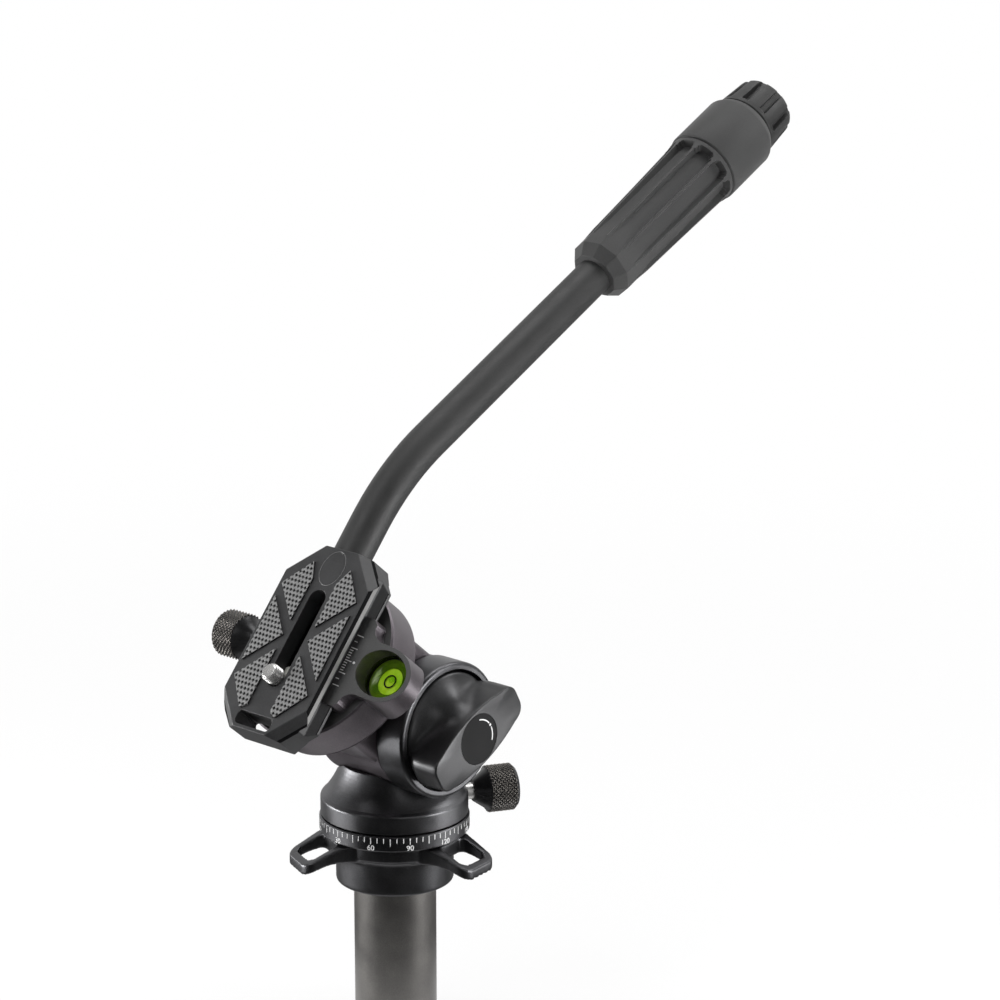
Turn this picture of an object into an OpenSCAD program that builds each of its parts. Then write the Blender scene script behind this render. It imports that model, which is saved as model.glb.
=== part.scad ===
// Fluid video head: camera plate and clamp on a tilting body, pan base, bent handle, strap collar and column
// Millimetres, +Z up along the pan axis, origin at the centre of the column's lower end

/* [Column and strap collar] */
// Outside diameter of the support column
column_d = 27.4; // [25:0.2:29]
// Wall thickness of the support column
column_wall = 1.8; // [1.2:0.1:3]
// Column length that shows below the collar
column_len = 49; // [20:1:160]
// Depth of the collar's socket that holds the column
column_seat = 9; // [6:0.5:10]
// Diameter of the collar's lower cylinder
collar_d = 39.2; // [37:0.2:42]
// Height of the strap collar
collar_h = 17.6; // [17:0.1:22]
// Outer end of a strap loop, from the pan axis
loop_reach = 35.4; // [34.6:0.2:42]
// Width of a strap loop at its outer end
loop_w = 17.4; // [15:0.2:20]
// Thickness of a strap loop
loop_t = 3.6; // [3.2:0.1:4.4]
// Width of the bars around a loop's window
loop_bar = 2.6; // [2.4:0.1:3.4]
// Downward slope of the strap loops
loop_droop = 22.5; // [10:0.5:25]
// Direction of the first strap loop
loop_turn = 7.5; // [0:0.5:119]
// Diameter of the mounting stud
stud_d = 9.525; // [6.35:3.175:9.525]

/* [Pan base and housing] */
// Diameter of the graduated base disc
base_d = 49.8; // [49:0.2:52]
// Height of the graduated base disc
base_h = 5.3; // [5:0.1:7]
// Step from the base disc in to the pan drum, on the radius
drum_step = 0.4; // [0.3:0.1:0.6]
// Height of the pan drum's straight side
drum_h = 6.8; // [6.2:0.1:7.4]
// Diameter of the fixed hub that the pan drum turns on
hub_d = 33.9; // [32:0.1:35]
// Height of the tilt axis above the underside of the base disc
tilt_h = 39.4; // [39:0.1:42]
// Radius of the dome's rim
dome_rim = 17.5; // [16.8:0.1:18]

/* [Locking knobs] */
// Direction of the pan lock knob
lock_turn = 61; // [40:1:80]
// Height of the pan lock knob above the underside of the base disc
lock_h = 9.5; // [9.4:0.1:9.8]
// Diameter of the two knurled knobs
knob_d = 16; // [14:0.5:18]
// Knurled length of the two knurled knobs
knob_len = 10; // [8:0.2:13]
// Cone length behind each knurl
knob_cone = 4.6; // [3:0.2:6]
// Diameter of the pan lock screw
lock_screw_d = 5.6; // [4.6:0.2:5.8]
// Length of the wing knob across its tips
wing_len = 42.6; // [40:0.2:45]
// Width of the wing knob's face in the middle
wing_w = 18.4; // [18:0.2:20]
// Width of the wing knob's face at its tips
wing_tip_w = 13; // [11:0.2:15]
// Direction of the wing knob above the horizontal
wing_turn = 28; // [-30:1:60]
// Face of the wing knob, from the pan axis
wing_face = 38.4; // [36:0.2:42]

/* [Tilting body] */
// Tilt of the plate at rest, front end down
tilt_angle = 49.6; // [-56:0.2:64]
// Diameter of the tilting barrel
barrel_d = 44; // [43:0.1:44.4]
// Barrel end on the side away from the wing knob, from the pan axis
barrel_left = 15.6; // [15.2:0.1:18]
// Barrel end on the side of the wing knob, from the pan axis
barrel_right = 13.6; // [13.2:0.1:14]
// Width of the trunk between the barrel and the plate clamp, front to back
trunk_w = 40; // [36:0.5:41]
// Diameter of the tilt axle
axle_d = 12; // [10:0.5:13]
// Outside diameter of the cup around the wing knob
cup_d = 45.4; // [44.6:0.1:46]
// Rim of the cup, from the pan axis
cup_rim = 25.6; // [24.6:0.1:27]

/* [Plate clamp] */
// Shift of the clamp and the plate behind the tilt axis
clamp_s = -1.4; // [-2:0.1:0]
// Diameter of the round clamp base
clamp_d = 56.8; // [56:0.2:57.4]
// Underside of the round clamp base above the tilt axis
clamp_low = 30.8; // [30.4:0.1:31.4]
// Top of the round clamp base above the tilt axis
clamp_top = 44; // [43.8:0.1:44.6]
// Length of the two jaws along the plate
jaw_len = 31; // [28:0.5:34]
// Thickness of the sliding jaw
jaw_t = 6.4; // [6:0.2:7]
// Fall of the jaws' upper faces for each millimetre outwards
jaw_slope = 0.37; // [0.25:0.01:0.4]
// Travel of the sliding jaw
jaw_travel = 2.5; // [1.5:0.1:2.8]
// Height of the clamp screw above the tilt axis
screw_n = 42.7; // [42.6:0.1:43.2]
// Diameter of the clamp screw
clamp_screw_d = 5; // [4:0.5:5]
// Bubble level's axis, from the middle of the plate
level_x = 29.5; // [29:0.1:31]
// Diameter of the level's recess
level_d = 15.7; // [14:0.1:16]
// Wall of the ear around the level
ear_wall = 1.5; // [1.2:0.1:2]

/* [Camera plate] */
// Length of the camera plate
plate_len = 66; // [62:0.5:80]
// Width of the camera plate
plate_w = 38; // [37:0.1:38.4]
// Thickness of the camera plate
plate_t = 10.2; // [10:0.1:11]
// Thickness of the plate's upper flange
flange_t = 3.4; // [3:0.1:3.8]
// Straight side of the plate's dovetail foot
foot_t = 1.4; // [1:0.1:1.8]
// Depth of the groove along each side of the plate
groove = 2.4; // [2.2:0.1:2.8]
// Corner cut of the plate's foot
corner_low = 7.6; // [7:0.1:8.4]
// Corner cut of the plate's upper face
corner_top = 12; // [11:0.1:13]
// Slot for the camera screw, end to end
slot_len = 35; // [28:0.5:36]
// Front end of the slot, from the middle of the plate
slot_front = -17; // [-18:0.1:-16]
// Diameter of the camera screw's thread
camera_d = 6.35; // [6.35:0.05:6.5]
// Camera screw's thread above the plate
camera_up = 4.4; // [4:0.1:6]
// Height of the grip pads
pad_h = 0.7; // [0.5:0.1:1]

/* [Handle] */
// Handle's line beside the middle of the plate
handle_x = 18; // [17.6:0.1:18.4]
// Handle's line above the tilt axis
handle_n = 33; // [32.6:0.1:33.6]
// Diameter of the handle tube
tube_d = 13; // [12.4:0.1:14]
// Bend in the handle, from the tilt axis along the plate
bend_s = 69.5; // [66:0.5:90]
// Angle of the handle's bend
bend_deg = 22.1; // [10:0.1:35]
// Radius of the handle's bend
bend_r = 95; // [60:1:100]
// Front of the grip, from the bend along the handle
grip_at = 116; // [100:1:180]
// Length of the grip
grip_len = 103.5; // [100:0.5:112]
// Diameter of the grip at its front
grip_d = 22.4; // [21.4:0.1:24]
// Diameter of the grip's band
band_d = 28.3; // [27:0.1:30]
// Number of ribs around the grip
grip_ribs = 10; // [8:1:12]

/* [Clearances] */
// Clearance of a shaft that turns in a bore, on the radius
fit = 0.05; // [0.02:0.01:0.08]
// Clearance of a piece seated in a bore of its own body, on the radius
snug = 0.02; // [0.01:0.01:0.04]
// Clearance between the plate and the clamp
slide_gap = 0.15; // [0.1:0.01:0.2]
// Clearance between other moving pieces
gap = 0.35; // [0.3:0.01:0.4]

/* [Hidden] */
$fn = 96;

column_r = column_d / 2;
seat_r = column_r - 0.5;
collar_r = collar_d / 2;
stud_r = stud_d / 2;
base_r = base_d / 2;
drum_r = base_r - drum_step;
hub_r = hub_d / 2;
knob_r = knob_d / 2;
lock_screw_r = lock_screw_d / 2;
barrel_r = barrel_d / 2;
axle_r = axle_d / 2;
cup_r = cup_d / 2;
clamp_r = clamp_d / 2;
clamp_screw_r = clamp_screw_d / 2;
level_r = level_d / 2;
ear_r = level_r + ear_wall;
camera_r = camera_d / 2;
tube_r = tube_d / 2;
grip_r = grip_d / 2;
band_r = band_d / 2;

collar_z = column_len;
base_z = collar_z + collar_h;
base_top = base_z + base_h;
drum_z = base_top + gap;
shoulder_z = drum_z + drum_h;
tilt_z = base_z + tilt_h;
dome_z = tilt_z - 16;
lock_z = base_z + lock_h;

ring_z = base_top + 0.8;
ring_t = 1;
hub_step_z = ring_z + ring_t + 0.15;
hub_top = lock_z + 2.2;
drag_t = 0.8;
roof_z = hub_top + drag_t + 0.1;
pad_r = 1.9;
pad_play = 0.55;
pad_in = hub_r + pad_play;
pad_out = pad_in + 2;
screw_in = pad_out + 0.1;
pan_neck = drum_r + 2.6;

saddle_r = barrel_r + gap;
cup_left = barrel_right + gap + 0.05;
cup_floor = cup_left + 4.4;
cup_in = cup_r - 2.4;
knob_disc = cup_in - 1;
bore_r = 15;
trunk_wall = barrel_right - 4.6;
bush_r = axle_r + 2;
plate_left = -9.2;
head_x = plate_left - 0.95;
nut_r = 7;
thread_r = 4;
neck_n = cup_r + 0.8;
cover_r = bore_r + 4.8;
cover_screw_r = (bore_r + cover_r) / 2;
cover_t = 2.4;

plate_n = clamp_top + 2.6;
plate_top = plate_n + plate_t;
floor_n = plate_n - slide_gap;
half_w = plate_w / 2;
waist = half_w - groove;
foot_n = plate_n + foot_t;
jaw_in = half_w + slide_gap;
lip_x = waist + 0.55;
slope_sum = half_w + foot_n + slide_gap * sqrt(2);
lip_n = slope_sum - lip_x;
jaw_top = lip_n + 0.45;
jaw_out = jaw_in + jaw_t;
jaw_seat = clamp_top - 4.2;
clamp_neck = jaw_out + jaw_travel + 0.9;
vial_top = jaw_top - jaw_slope * (level_x - lip_x) - 4.5;
vial_low = vial_top - 4.2;
pin_s = jaw_len / 2 - 5.5;
pin_n = jaw_seat + 3.1;
bolt_r = 2;
bolt_head = 3.5;
bolt_s = 9.5;
bolt_x = [-5, 10.5];

slot_r = camera_r + 0.2;
slot_a = slot_front + slot_r;
slot_b = slot_front + slot_len - slot_r;
channel_r = 6.8;
web_t = 5.6;
end_len = 4.5;
end_drop = 1.9;
washer_t = 0.8;
head_t = 3.2;

socket_r = 9.4;
socket_end = 29.8;
socket_start = jaw_len / 2 + clamp_s + 0.5;
spigot_r = tube_r - 1.5;
nut_len = 6;
nut_s = socket_end + gap;
tube_s = nut_s + nut_len + gap;
bend_t = bend_r * tan(bend_deg / 2);
weld = 0.03;
grip_band = grip_len * 0.59;
grip_end = grip_len * 0.85;

// Points of a circular arc
function arc(cx, cy, r, a, b, n = 8) =
    [for (i = [0 : n]) [cx + r * cos(a + (b - a) * i / n), cy + r * sin(a + (b - a) * i / n)]];

// Points of a curve pulled towards its middle point
function bow(p, q, r, n = 10) =
    [for (i = [0 : n]) let (t = i / n) (1 - t) * (1 - t) * p + 2 * t * (1 - t) * q + t * t * r];

// Turns a profile of radius and height about the vertical
module spin_z(profile) {
    rotate_extrude() polygon(profile);
}

// Turns a profile of radius and distance about the X axis
module spin_x(profile) {
    rotate([0, 90, 0]) rotate_extrude() polygon(profile);
}

// Turns a profile of radius and distance about the Y axis
module spin_y(profile) {
    rotate([-90, 0, 0]) rotate_extrude() polygon(profile);
}

module rod_x(r, a, b) {
    translate([a, 0, 0]) rotate([0, 90, 0]) cylinder(r = r, h = b - a);
}

module rod_y(r, a, b) {
    translate([0, a, 0]) rotate([-90, 0, 0]) cylinder(r = r, h = b - a);
}

module ring_x(inner, outer, a, b) {
    difference() {
        rod_x(outer, a, b);
        rod_x(inner, a - 1, b + 1);
    }
}

module ring_z(inner, outer, a, b) {
    difference() {
        translate([0, 0, a]) cylinder(r = outer, h = b - a);
        translate([0, 0, a - 1]) cylinder(r = inner, h = b - a + 2);
    }
}

// Places children on the tilt axis, which stands still
module on_axis() {
    translate([0, 0, tilt_z]) children();
}

// Places children in the tilting body: X across, Y along the plate, Z out of the plate
module in_tilt() {
    on_axis() rotate([tilt_angle, 0, 0]) children();
}

// The same, centred under the plate
module in_clamp() {
    in_tilt() translate([0, clamp_s, 0]) children();
}

// Places children with +X pointing outwards along the pan lock screw
module in_lock() {
    translate([0, 0, lock_z]) rotate([0, 0, lock_turn]) children();
}

// Places children on the handle's straight lower part, +Y towards the grip
module in_handle() {
    in_tilt() translate([-handle_x, 0, handle_n]) children();
}

// Places children past the bend, Y counted from the bend's corner
module past_bend() {
    in_handle() translate([0, bend_s, 0]) rotate([-bend_deg, 0, 0]) children();
}

module column_tube() {
    color("#3b3a3a") difference() {
        union() {
            cylinder(r = column_r, h = collar_z - 0.2);
            cylinder(r = seat_r, h = collar_z + column_seat - 0.2);
        }
        translate([0, 0, -1]) cylinder(r = column_r - column_wall, h = collar_z + column_seat + 2);
    }
}

// Plan of one strap loop along X, with its window
module loop_plan() {
    r = 4;
    far = loop_reach - r;
    side = loop_w / 2 - r;
    root = collar_r * 0.7;
    near = collar_r + 3.2;
    end = loop_reach - loop_bar;
    wide = loop_w / 2 - loop_bar;
    difference() {
        union() {
            polygon(concat([[10, -root], [10, root]],
                bow([collar_r * 0.66, root], [collar_r + 2, loop_w / 2 + 0.6], [far, loop_w / 2], 6),
                [[far + r, side], [far + r, -side]],
                bow([far, -loop_w / 2], [collar_r + 2, -loop_w / 2 - 0.6], [collar_r * 0.66, -root], 6)));
            translate([far, side]) circle(r = r);
            translate([far, -side]) circle(r = r);
        }
        polygon([[near, -wide + 1], [near, wide - 1], [near + 1, wide], [end - 1.6, wide], [end, wide - 1.6],
            [end, 1.6 - wide], [end - 1.6, -wide], [near + 1, -wide]]);
    }
}

// Side view of one strap loop, radius against height below the collar's top
module loop_side() {
    fall = (loop_reach - collar_r) * tan(loop_droop);
    polygon(concat([[8, -0.6], [collar_r + 2, -0.6]],
        bow([collar_r + 2, -0.6], [collar_r + 5, -1], [loop_reach + 1, -fall]),
        bow([loop_reach + 1, -fall - loop_t], [collar_r + 8, -loop_t - 1.6], [collar_r, -loop_t - 2.6]),
        [[8, -loop_t - 2.6]]));
}

module strap_collar() {
    flare = collar_r + 2.2;
    color("#353535") difference() {
        union() {
            translate([0, 0, collar_z]) spin_z(concat([[0, 0], [collar_r - 0.5, 0], [collar_r, 0.5]],
                [[collar_r, collar_h - 8]],
                bow([collar_r, collar_h - 7.4], [collar_r, collar_h - 5.2], [flare, collar_h - 5]),
                [[flare, collar_h - 0.6], [flare - 0.6, collar_h], [0, collar_h]]));
            for (i = [0 : 2]) {
                rotate([0, 0, loop_turn + 120 * i]) translate([0, 0, base_z]) intersection() {
                    translate([0, 0, -30]) linear_extrude(30) loop_plan();
                    rotate([90, 0, 0]) translate([0, 0, -30]) linear_extrude(60) loop_side();
                }
            }
        }
        translate([0, 0, collar_z - 1]) cylinder(r = seat_r + snug, h = column_seat + 1);
        translate([0, 0, collar_z]) cylinder(r = stud_r + snug, h = collar_h + 1);
    }
}

module mount_stud() {
    color("#a9abac") translate([0, 0, collar_z + column_seat + 0.6])
        cylinder(r = stud_r, h = hub_top - 3 - collar_z - column_seat);
}

module base_disc() {
    color("#202022") difference() {
        spin_z([[0, base_z], [base_r - 0.5, base_z], [base_r, base_z + 0.5], [base_r, base_top - 0.4],
            [base_r - 0.4, base_top], [0, base_top]]);
        translate([0, 0, base_z - 1]) cylinder(r = stud_r + snug, h = base_h + 2);
        for (i = [0 : 3]) {
            rotate([0, 0, 45 + 90 * i]) translate([10.5, 0, base_z - 1])
                cylinder(r = 1.6 + snug, h = base_h + 2);
            rotate([0, 0, 45 + 90 * i]) translate([10.5, 0, base_z - 1]) cylinder(r = 3.2, h = 3.4);
        }
    }
}

module pan_hub() {
    color("#8b8d90") difference() {
        spin_z([[0, base_top], [hub_r - 2.6, base_top], [hub_r - 2.6, hub_step_z], [hub_r, hub_step_z],
            [hub_r, hub_top], [0, hub_top]]);
        translate([0, 0, base_top - 1]) cylinder(r = stud_r + snug, h = hub_top - base_top - 0.6);
        for (i = [0 : 3]) {
            rotate([0, 0, 45 + 90 * i]) translate([10.5, 0, base_top - 1]) cylinder(r = 1.6 + snug, h = 5);
        }
    }
}

module hub_screws() {
    color("#a9abac") for (i = [0 : 3]) {
        rotate([0, 0, 45 + 90 * i]) translate([10.5, 0, 0]) {
            translate([0, 0, base_z + 0.3]) cylinder(r = 3, h = 2.1);
            translate([0, 0, base_z + 2.3]) cylinder(r = 1.6, h = base_h + 1.4);
        }
    }
}

module pan_housing() {
    color("#1d1d1f") difference() {
        union() {
            spin_z(concat([[0, drum_z], [drum_r - 0.4, drum_z], [drum_r, drum_z + 0.4]],
                arc(drum_r - 1.2, shoulder_z - 1.2, 1.2, 0, 58, 5),
                bow([drum_r - 1.1, shoulder_z + 0.3], [drum_r - 4.9, shoulder_z + 4.9], [dome_rim, dome_z]),
                [[0, dome_z]]));
            on_axis() spin_x(concat([[0, cup_left], [cup_r - 0.5, cup_left], [cup_r, cup_left + 0.5]],
                arc(cup_r - 1.2, cup_rim - 1.2, 1.2, 0, 90, 5), [[0, cup_rim]]));
        }
        on_axis() rod_x(saddle_r, -60, cup_left);
        on_axis() rod_x(cup_in, cup_floor, cup_rim + 30);
        on_axis() rod_x(axle_r + snug, cup_left - 1, cup_floor + 1);
        translate([0, 0, drum_z - 5]) cylinder(r = hub_r + fit, h = roof_z - drum_z + 5);
        translate([0, 0, ring_z - 0.05]) cylinder(r = hub_r + 1.05, h = ring_t + 0.1);
        ring_z(drum_r - 5, drum_r - 2.4, drum_z - 1, drum_z + 0.6);
        in_lock() rod_x(lock_screw_r + fit, hub_r - 2, drum_r + 5);
    }
}

module hub_ring() {
    color("#6d6f72") difference() {
        ring_z(hub_r - 2.2, hub_r + 1, ring_z, ring_z + ring_t);
        rotate([0, 0, 200]) translate([hub_r - 6, -2, ring_z - 1]) cube([10, 4, ring_t + 2]);
    }
}

module drag_washer() {
    color("#d8d8d2") ring_z(6, hub_r - 1, hub_top, hub_top + drag_t);
}

module seal_ring() {
    color("#151515") ring_z(drum_r - 4.8, drum_r - 2.6, base_top + 0.05, drum_z + 0.55);
}

module tilt_axle() {
    color("#b3b5b7") on_axis() union() {
        rod_x(axle_r + 3.4, head_x - 2.4, head_x);
        rod_x(axle_r, head_x - 0.5, cup_floor + 0.6);
        rod_x(thread_r, cup_floor, wing_face - 6);
    }
}

module axle_washer() {
    color("#8f9194") on_axis() ring_x(axle_r + snug, axle_r + 3, head_x, plate_left - gap * 0.15);
}

module damper_rotor() {
    color("#77797b") on_axis() difference() {
        union() {
            rod_x(axle_r + 2.2, plate_left + 4.6, trunk_wall - 2);
            for (i = [0 : 3]) {
                rod_x(12.8, plate_left + 4.8 + 3 * i, plate_left + 6.4 + 3 * i);
            }
        }
        rod_x(axle_r + snug, plate_left, trunk_wall);
    }
}

module friction_disc() {
    color("#4a4036") on_axis() ring_x(bush_r + 0.8, 17, barrel_right - 0.6, cup_left - 0.05);
}

module knurled_knob(face) {
    back = 3;
    spin_x(concat([[0, face - knob_len - knob_cone], [back + 0.6, face - knob_len - knob_cone],
        [knob_r - 0.7, face - knob_len], [knob_r, face - knob_len + 0.7], [knob_r, face - 1]],
        arc(knob_r - 1, face - 1, 1, 0, 90, 4), [[0, face]]));
}

module pan_lock_knob() {
    face = pan_neck + knob_cone + knob_len;
    color("#161617") in_lock() difference() {
        knurled_knob(face);
        rod_x(lock_screw_r - 0.8 + snug, 0, pan_neck + 9);
        rod_x(knob_r - 2.4, face - 0.5, face + 1);
    }
}

module pan_lock_screw() {
    color("#b9bbbd") in_lock() union() {
        rod_x(lock_screw_r, screw_in, pan_neck - 0.05);
        rod_x(lock_screw_r - 0.8, pan_neck - 1, pan_neck + 8.8);
    }
}

module pan_brake_pad() {
    color("#b08d4a") in_lock() rod_x(pad_r, pad_in, pad_out);
}

// Face outline of the wing knob, long along X
module wing_outline() {
    r = 4.4;
    far = wing_len / 2 - r;
    mid = wing_w / 2;
    tip = wing_tip_w / 2;
    upper = [for (i = [-8 : 8]) let (t = i / 8) [far * t, mid - (mid - tip) * t * t]];
    lower = [for (i = [-8 : 8]) let (t = i / 8) [-far * t, -mid + (mid - tip) * t * t]];
    union() {
        polygon(concat(upper, lower));
        translate([-far - r, r - tip]) square([2 * (far + r), 2 * (tip - r)]);
        for (x = [-far, far], y = [r - tip, tip - r]) {
            translate([x, y]) circle(r = r);
        }
    }
}

module tilt_lock_knob() {
    disc_a = cup_floor + 0.6;
    disc_b = cup_rim - 0.2;
    mid = wing_w / 2;
    color("#202022") on_axis() difference() {
        union() {
            spin_x([[0, disc_a], [knob_disc - 0.6, disc_a], [knob_disc, disc_a + 0.6],
                [knob_disc, disc_b - 0.6], [knob_disc - 0.6, disc_b], [0, disc_b]]);
            rotate([90, 0, 90]) rotate([0, 0, wing_turn]) translate([0, 0, cup_rim + 0.4])
                linear_extrude(wing_face - cup_rim - 0.4) wing_outline();
            intersection() {
                rod_x(knob_disc - 0.8, disc_a, wing_face);
                rotate([90, 0, 90]) rotate([0, 0, wing_turn]) rotate([90, 0, 90])
                    translate([0, 0, -knob_disc]) linear_extrude(2 * knob_disc)
                    polygon(concat([[-knob_disc, disc_b - 1], [knob_disc, disc_b - 1]],
                        bow([knob_disc, disc_b + 0.2], [mid + 0.6, disc_b + 1.6],
                            [mid - 0.9, wing_face - 2.4]),
                        bow([0.9 - mid, wing_face - 2.4], [-mid - 0.6, disc_b + 1.6],
                            [-knob_disc, disc_b + 0.2])));
            }
        }
        rod_x(nut_r + snug, disc_a - 1, wing_face - 5);
        rod_x(8.4 + snug, wing_face - 0.8, wing_face + 1);
    }
}

module tilt_lock_face() {
    color("#2a2a2c") on_axis() rod_x(8.4, wing_face - 0.75, wing_face - 0.15);
}

module tilt_lock_nut() {
    color("#b08d4a") on_axis() ring_x(thread_r + fit, nut_r, cup_floor + 0.9, wing_face - 5.3);
}

module tilt_body() {
    corner = 3;
    back = barrel_left - corner;
    front = barrel_right - corner;
    side = trunk_w / 2 - corner;
    color("#38383c") difference() {
        union() {
            in_tilt() spin_x([[0, -barrel_left], [barrel_r - 1.4, -barrel_left],
                [barrel_r, 1.4 - barrel_left], [barrel_r, barrel_right - 0.8],
                [barrel_r - 0.8, barrel_right], [0, barrel_right]]);
            in_tilt() linear_extrude(clamp_low - 1) union() {
                translate([-barrel_left, -side]) square([barrel_left + barrel_right, 2 * side]);
                translate([-back, -side - corner]) square([back + front, 2 * (side + corner)]);
                for (x = [-back, front]) {
                    translate([x, side]) circle(r = corner);
                    translate([x, -side]) circle(r = corner);
                }
            }
            in_clamp() spin_z(concat([[0, neck_n]],
                bow([trunk_w / 2 - 0.6, neck_n], [trunk_w / 2 + 2.4, clamp_low - 3.4],
                    [clamp_r - 1.9, clamp_low - 2]),
                [[clamp_r - 0.15, clamp_low - 0.35], [clamp_r - 0.4, clamp_low], [0, clamp_low]]));
            in_handle() rod_y(socket_r, socket_start, socket_end);
        }
        in_tilt() rod_x(bore_r, -barrel_left - 1, trunk_wall);
        in_tilt() rod_x(bush_r + snug, trunk_wall - 1, barrel_right + 1);
        in_tilt() rod_x(17 + gap, barrel_right - 0.7, barrel_right + 40);
        in_tilt() rod_x(cover_r + snug, -barrel_left - 1, cover_t - barrel_left);
        for (i = [0 : 2]) {
            in_tilt() rotate([120 * i + 90, 0, 0]) translate([0, 0, cover_screw_r])
                rod_x(1 + snug, cover_t - barrel_left - 1, cover_t - barrel_left + 5);
        }
        for (x = bolt_x, y = [-bolt_s, bolt_s]) {
            in_clamp() translate([x, y, clamp_low - 9]) cylinder(r = bolt_r + snug, h = 10);
        }
        in_handle() rod_y(spigot_r + fit, socket_start + 1.4, socket_end + 1);
    }
}

module tilt_bush() {
    color("#b08d4a") in_tilt() ring_x(axle_r + fit, bush_r, trunk_wall + 0.05, barrel_right - 0.8);
}

module bearing_plate() {
    color("#b08d4a") in_tilt() ring_x(axle_r + fit, bore_r - snug, plate_left, plate_left + 4);
}

module damper_cup() {
    color("#8b8d90") in_tilt() difference() {
        rod_x(bore_r - snug, plate_left + 4.05, trunk_wall - 0.05);
        rod_x(13.2, plate_left + 3, trunk_wall - 1.6);
        rod_x(bush_r + 0.6, plate_left + 3, trunk_wall + 1);
    }
}

module end_cover() {
    color("#2c2c2f") in_tilt() difference() {
        spin_x([[0, 0.8 - barrel_left], [10, 0.8 - barrel_left], [10.8, -barrel_left],
            [cover_r - 0.6, -barrel_left], [cover_r, 0.6 - barrel_left],
            [cover_r, cover_t - barrel_left - 0.03], [0, cover_t - barrel_left - 0.03]]);
        for (i = [0 : 2]) {
            rotate([120 * i + 90, 0, 0]) translate([0, 0, cover_screw_r])
                rod_x(2.05, -barrel_left - 1, 1.4 - barrel_left);
            rotate([120 * i + 90, 0, 0]) translate([0, 0, cover_screw_r])
                rod_x(1 + snug, -barrel_left - 1, cover_t - barrel_left + 1);
        }
    }
}

module cover_screws() {
    color("#a9abac") in_tilt() for (i = [0 : 2]) {
        rotate([120 * i + 90, 0, 0]) translate([0, 0, cover_screw_r]) union() {
            rod_x(1.95, 0.1 - barrel_left, 1.35 - barrel_left);
            rod_x(1, 1 - barrel_left, cover_t - barrel_left + 2);
        }
    }
}

// Outline of the fixed jaw and the level's ear, seen from above
module ear_outline() {
    half = jaw_len / 2;
    side = jaw_in + 2.4;
    r = 4.2;
    union() {
        polygon(concat([[jaw_in - 4, -half + 1.5], [jaw_in - 2.5, -half]],
            [[side - 1.4, -half], [side, -half + 1.4]],
            arc(side + r, -ear_r - r, r, 180, 90), [[level_x, -ear_r], [level_x, ear_r]],
            arc(side + r, ear_r + r, r, 270, 180),
            [[side, half - 1.4], [side - 1.4, half], [jaw_in - 2.5, half], [jaw_in - 4, half - 1.5]]));
        translate([level_x, 0]) circle(r = ear_r);
    }
}

module clamp_base() {
    half = jaw_len / 2;
    color("#232325") in_clamp() difference() {
        union() {
            spin_z([[0, clamp_low], [clamp_r - 0.35, clamp_low], [clamp_r, clamp_low + 0.35],
                [clamp_r, clamp_top - 0.6], [clamp_r - 0.6, clamp_top], [0, clamp_top]]);
            translate([-jaw_in + 0.2, -half, clamp_top - 2])
                cube([2 * jaw_in - 0.2, jaw_len, floor_n - clamp_top + 2]);
            difference() {
                translate([0, 0, clamp_low + 0.6]) linear_extrude(jaw_top - clamp_low - 0.6) ear_outline();
                rotate([90, 0, 0]) translate([0, 0, -40]) linear_extrude(80)
                    polygon([[lip_x, jaw_top], [level_x + 20, jaw_top - jaw_slope * (level_x + 20 - lip_x)],
                        [level_x + 20, jaw_top + 20], [lip_x, jaw_top + 20]]);
                rotate([90, 0, 0]) translate([0, 0, -40]) linear_extrude(80)
                    polygon([[clamp_r - 2, clamp_low], [level_x + ear_r + 1, clamp_low + 5.6],
                        [80, clamp_low + 5.6], [80, clamp_low - 5], [clamp_r - 2, clamp_low - 5]]);
                rotate([90, 0, 0]) translate([0, 0, -40]) linear_extrude(80)
                    polygon([[0, floor_n], [jaw_in, floor_n], [jaw_in, slope_sum - jaw_in],
                        [lip_x, lip_n], [lip_x, jaw_top + 20], [0, jaw_top + 20]]);
            }
        }
        translate([level_x, 0, vial_top - 0.7]) cylinder(r = level_r, h = 30);
        translate([level_x, 0, vial_low]) cylinder(r = level_r - 0.6 + snug, h = 30);
        translate([-60 - jaw_in + 0.2, -half - 0.25, jaw_seat]) cube([60, jaw_len + 0.5, 40]);
        translate([0, 0, screw_n]) rod_x(clamp_screw_r + fit, -40, -3.5);
        for (y = [-pin_s, pin_s]) {
            translate([0, y, pin_n]) rod_x(bolt_r + snug, -40, -12);
        }
        for (x = bolt_x, y = [-bolt_s, bolt_s]) {
            translate([x, y, clamp_low - 1]) cylinder(r = bolt_r + snug, h = 20);
            translate([x, y, floor_n - 4.2]) cylinder(r = bolt_head + 0.1, h = 20);
        }
        translate([-handle_x, -clamp_s, handle_n]) rod_y(socket_r + 0.06, socket_start - 0.1, 60);
    }
}

module clamp_bolts() {
    color("#8f9194") in_clamp() for (x = bolt_x, y = [-bolt_s, bolt_s]) {
        translate([x, y, 0]) difference() {
            union() {
                translate([0, 0, clamp_low - 8.5]) cylinder(r = bolt_r, h = floor_n - clamp_low + 5);
                translate([0, 0, floor_n - 4.15]) cylinder(r = bolt_head, h = 3.8);
            }
            translate([0, 0, floor_n - 2.4]) cylinder(r = 1.7, h = 6, $fn = 6);
        }
    }
}

module guide_pins() {
    color("#a9abac") in_clamp() for (y = [-pin_s, pin_s]) {
        translate([0, y, pin_n]) rod_x(bolt_r, -jaw_out + 1.2, -12.1);
    }
}

module level_vial() {
    color("#b9d930") in_clamp() translate([level_x, 0, 0]) difference() {
        translate([0, 0, vial_low + 0.1]) cylinder(r = level_r - 0.6, h = vial_top - vial_low - 0.9);
        translate([0, 0, vial_top - 2.4]) cylinder(r = level_r - 1.6, h = 5);
    }
}

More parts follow.
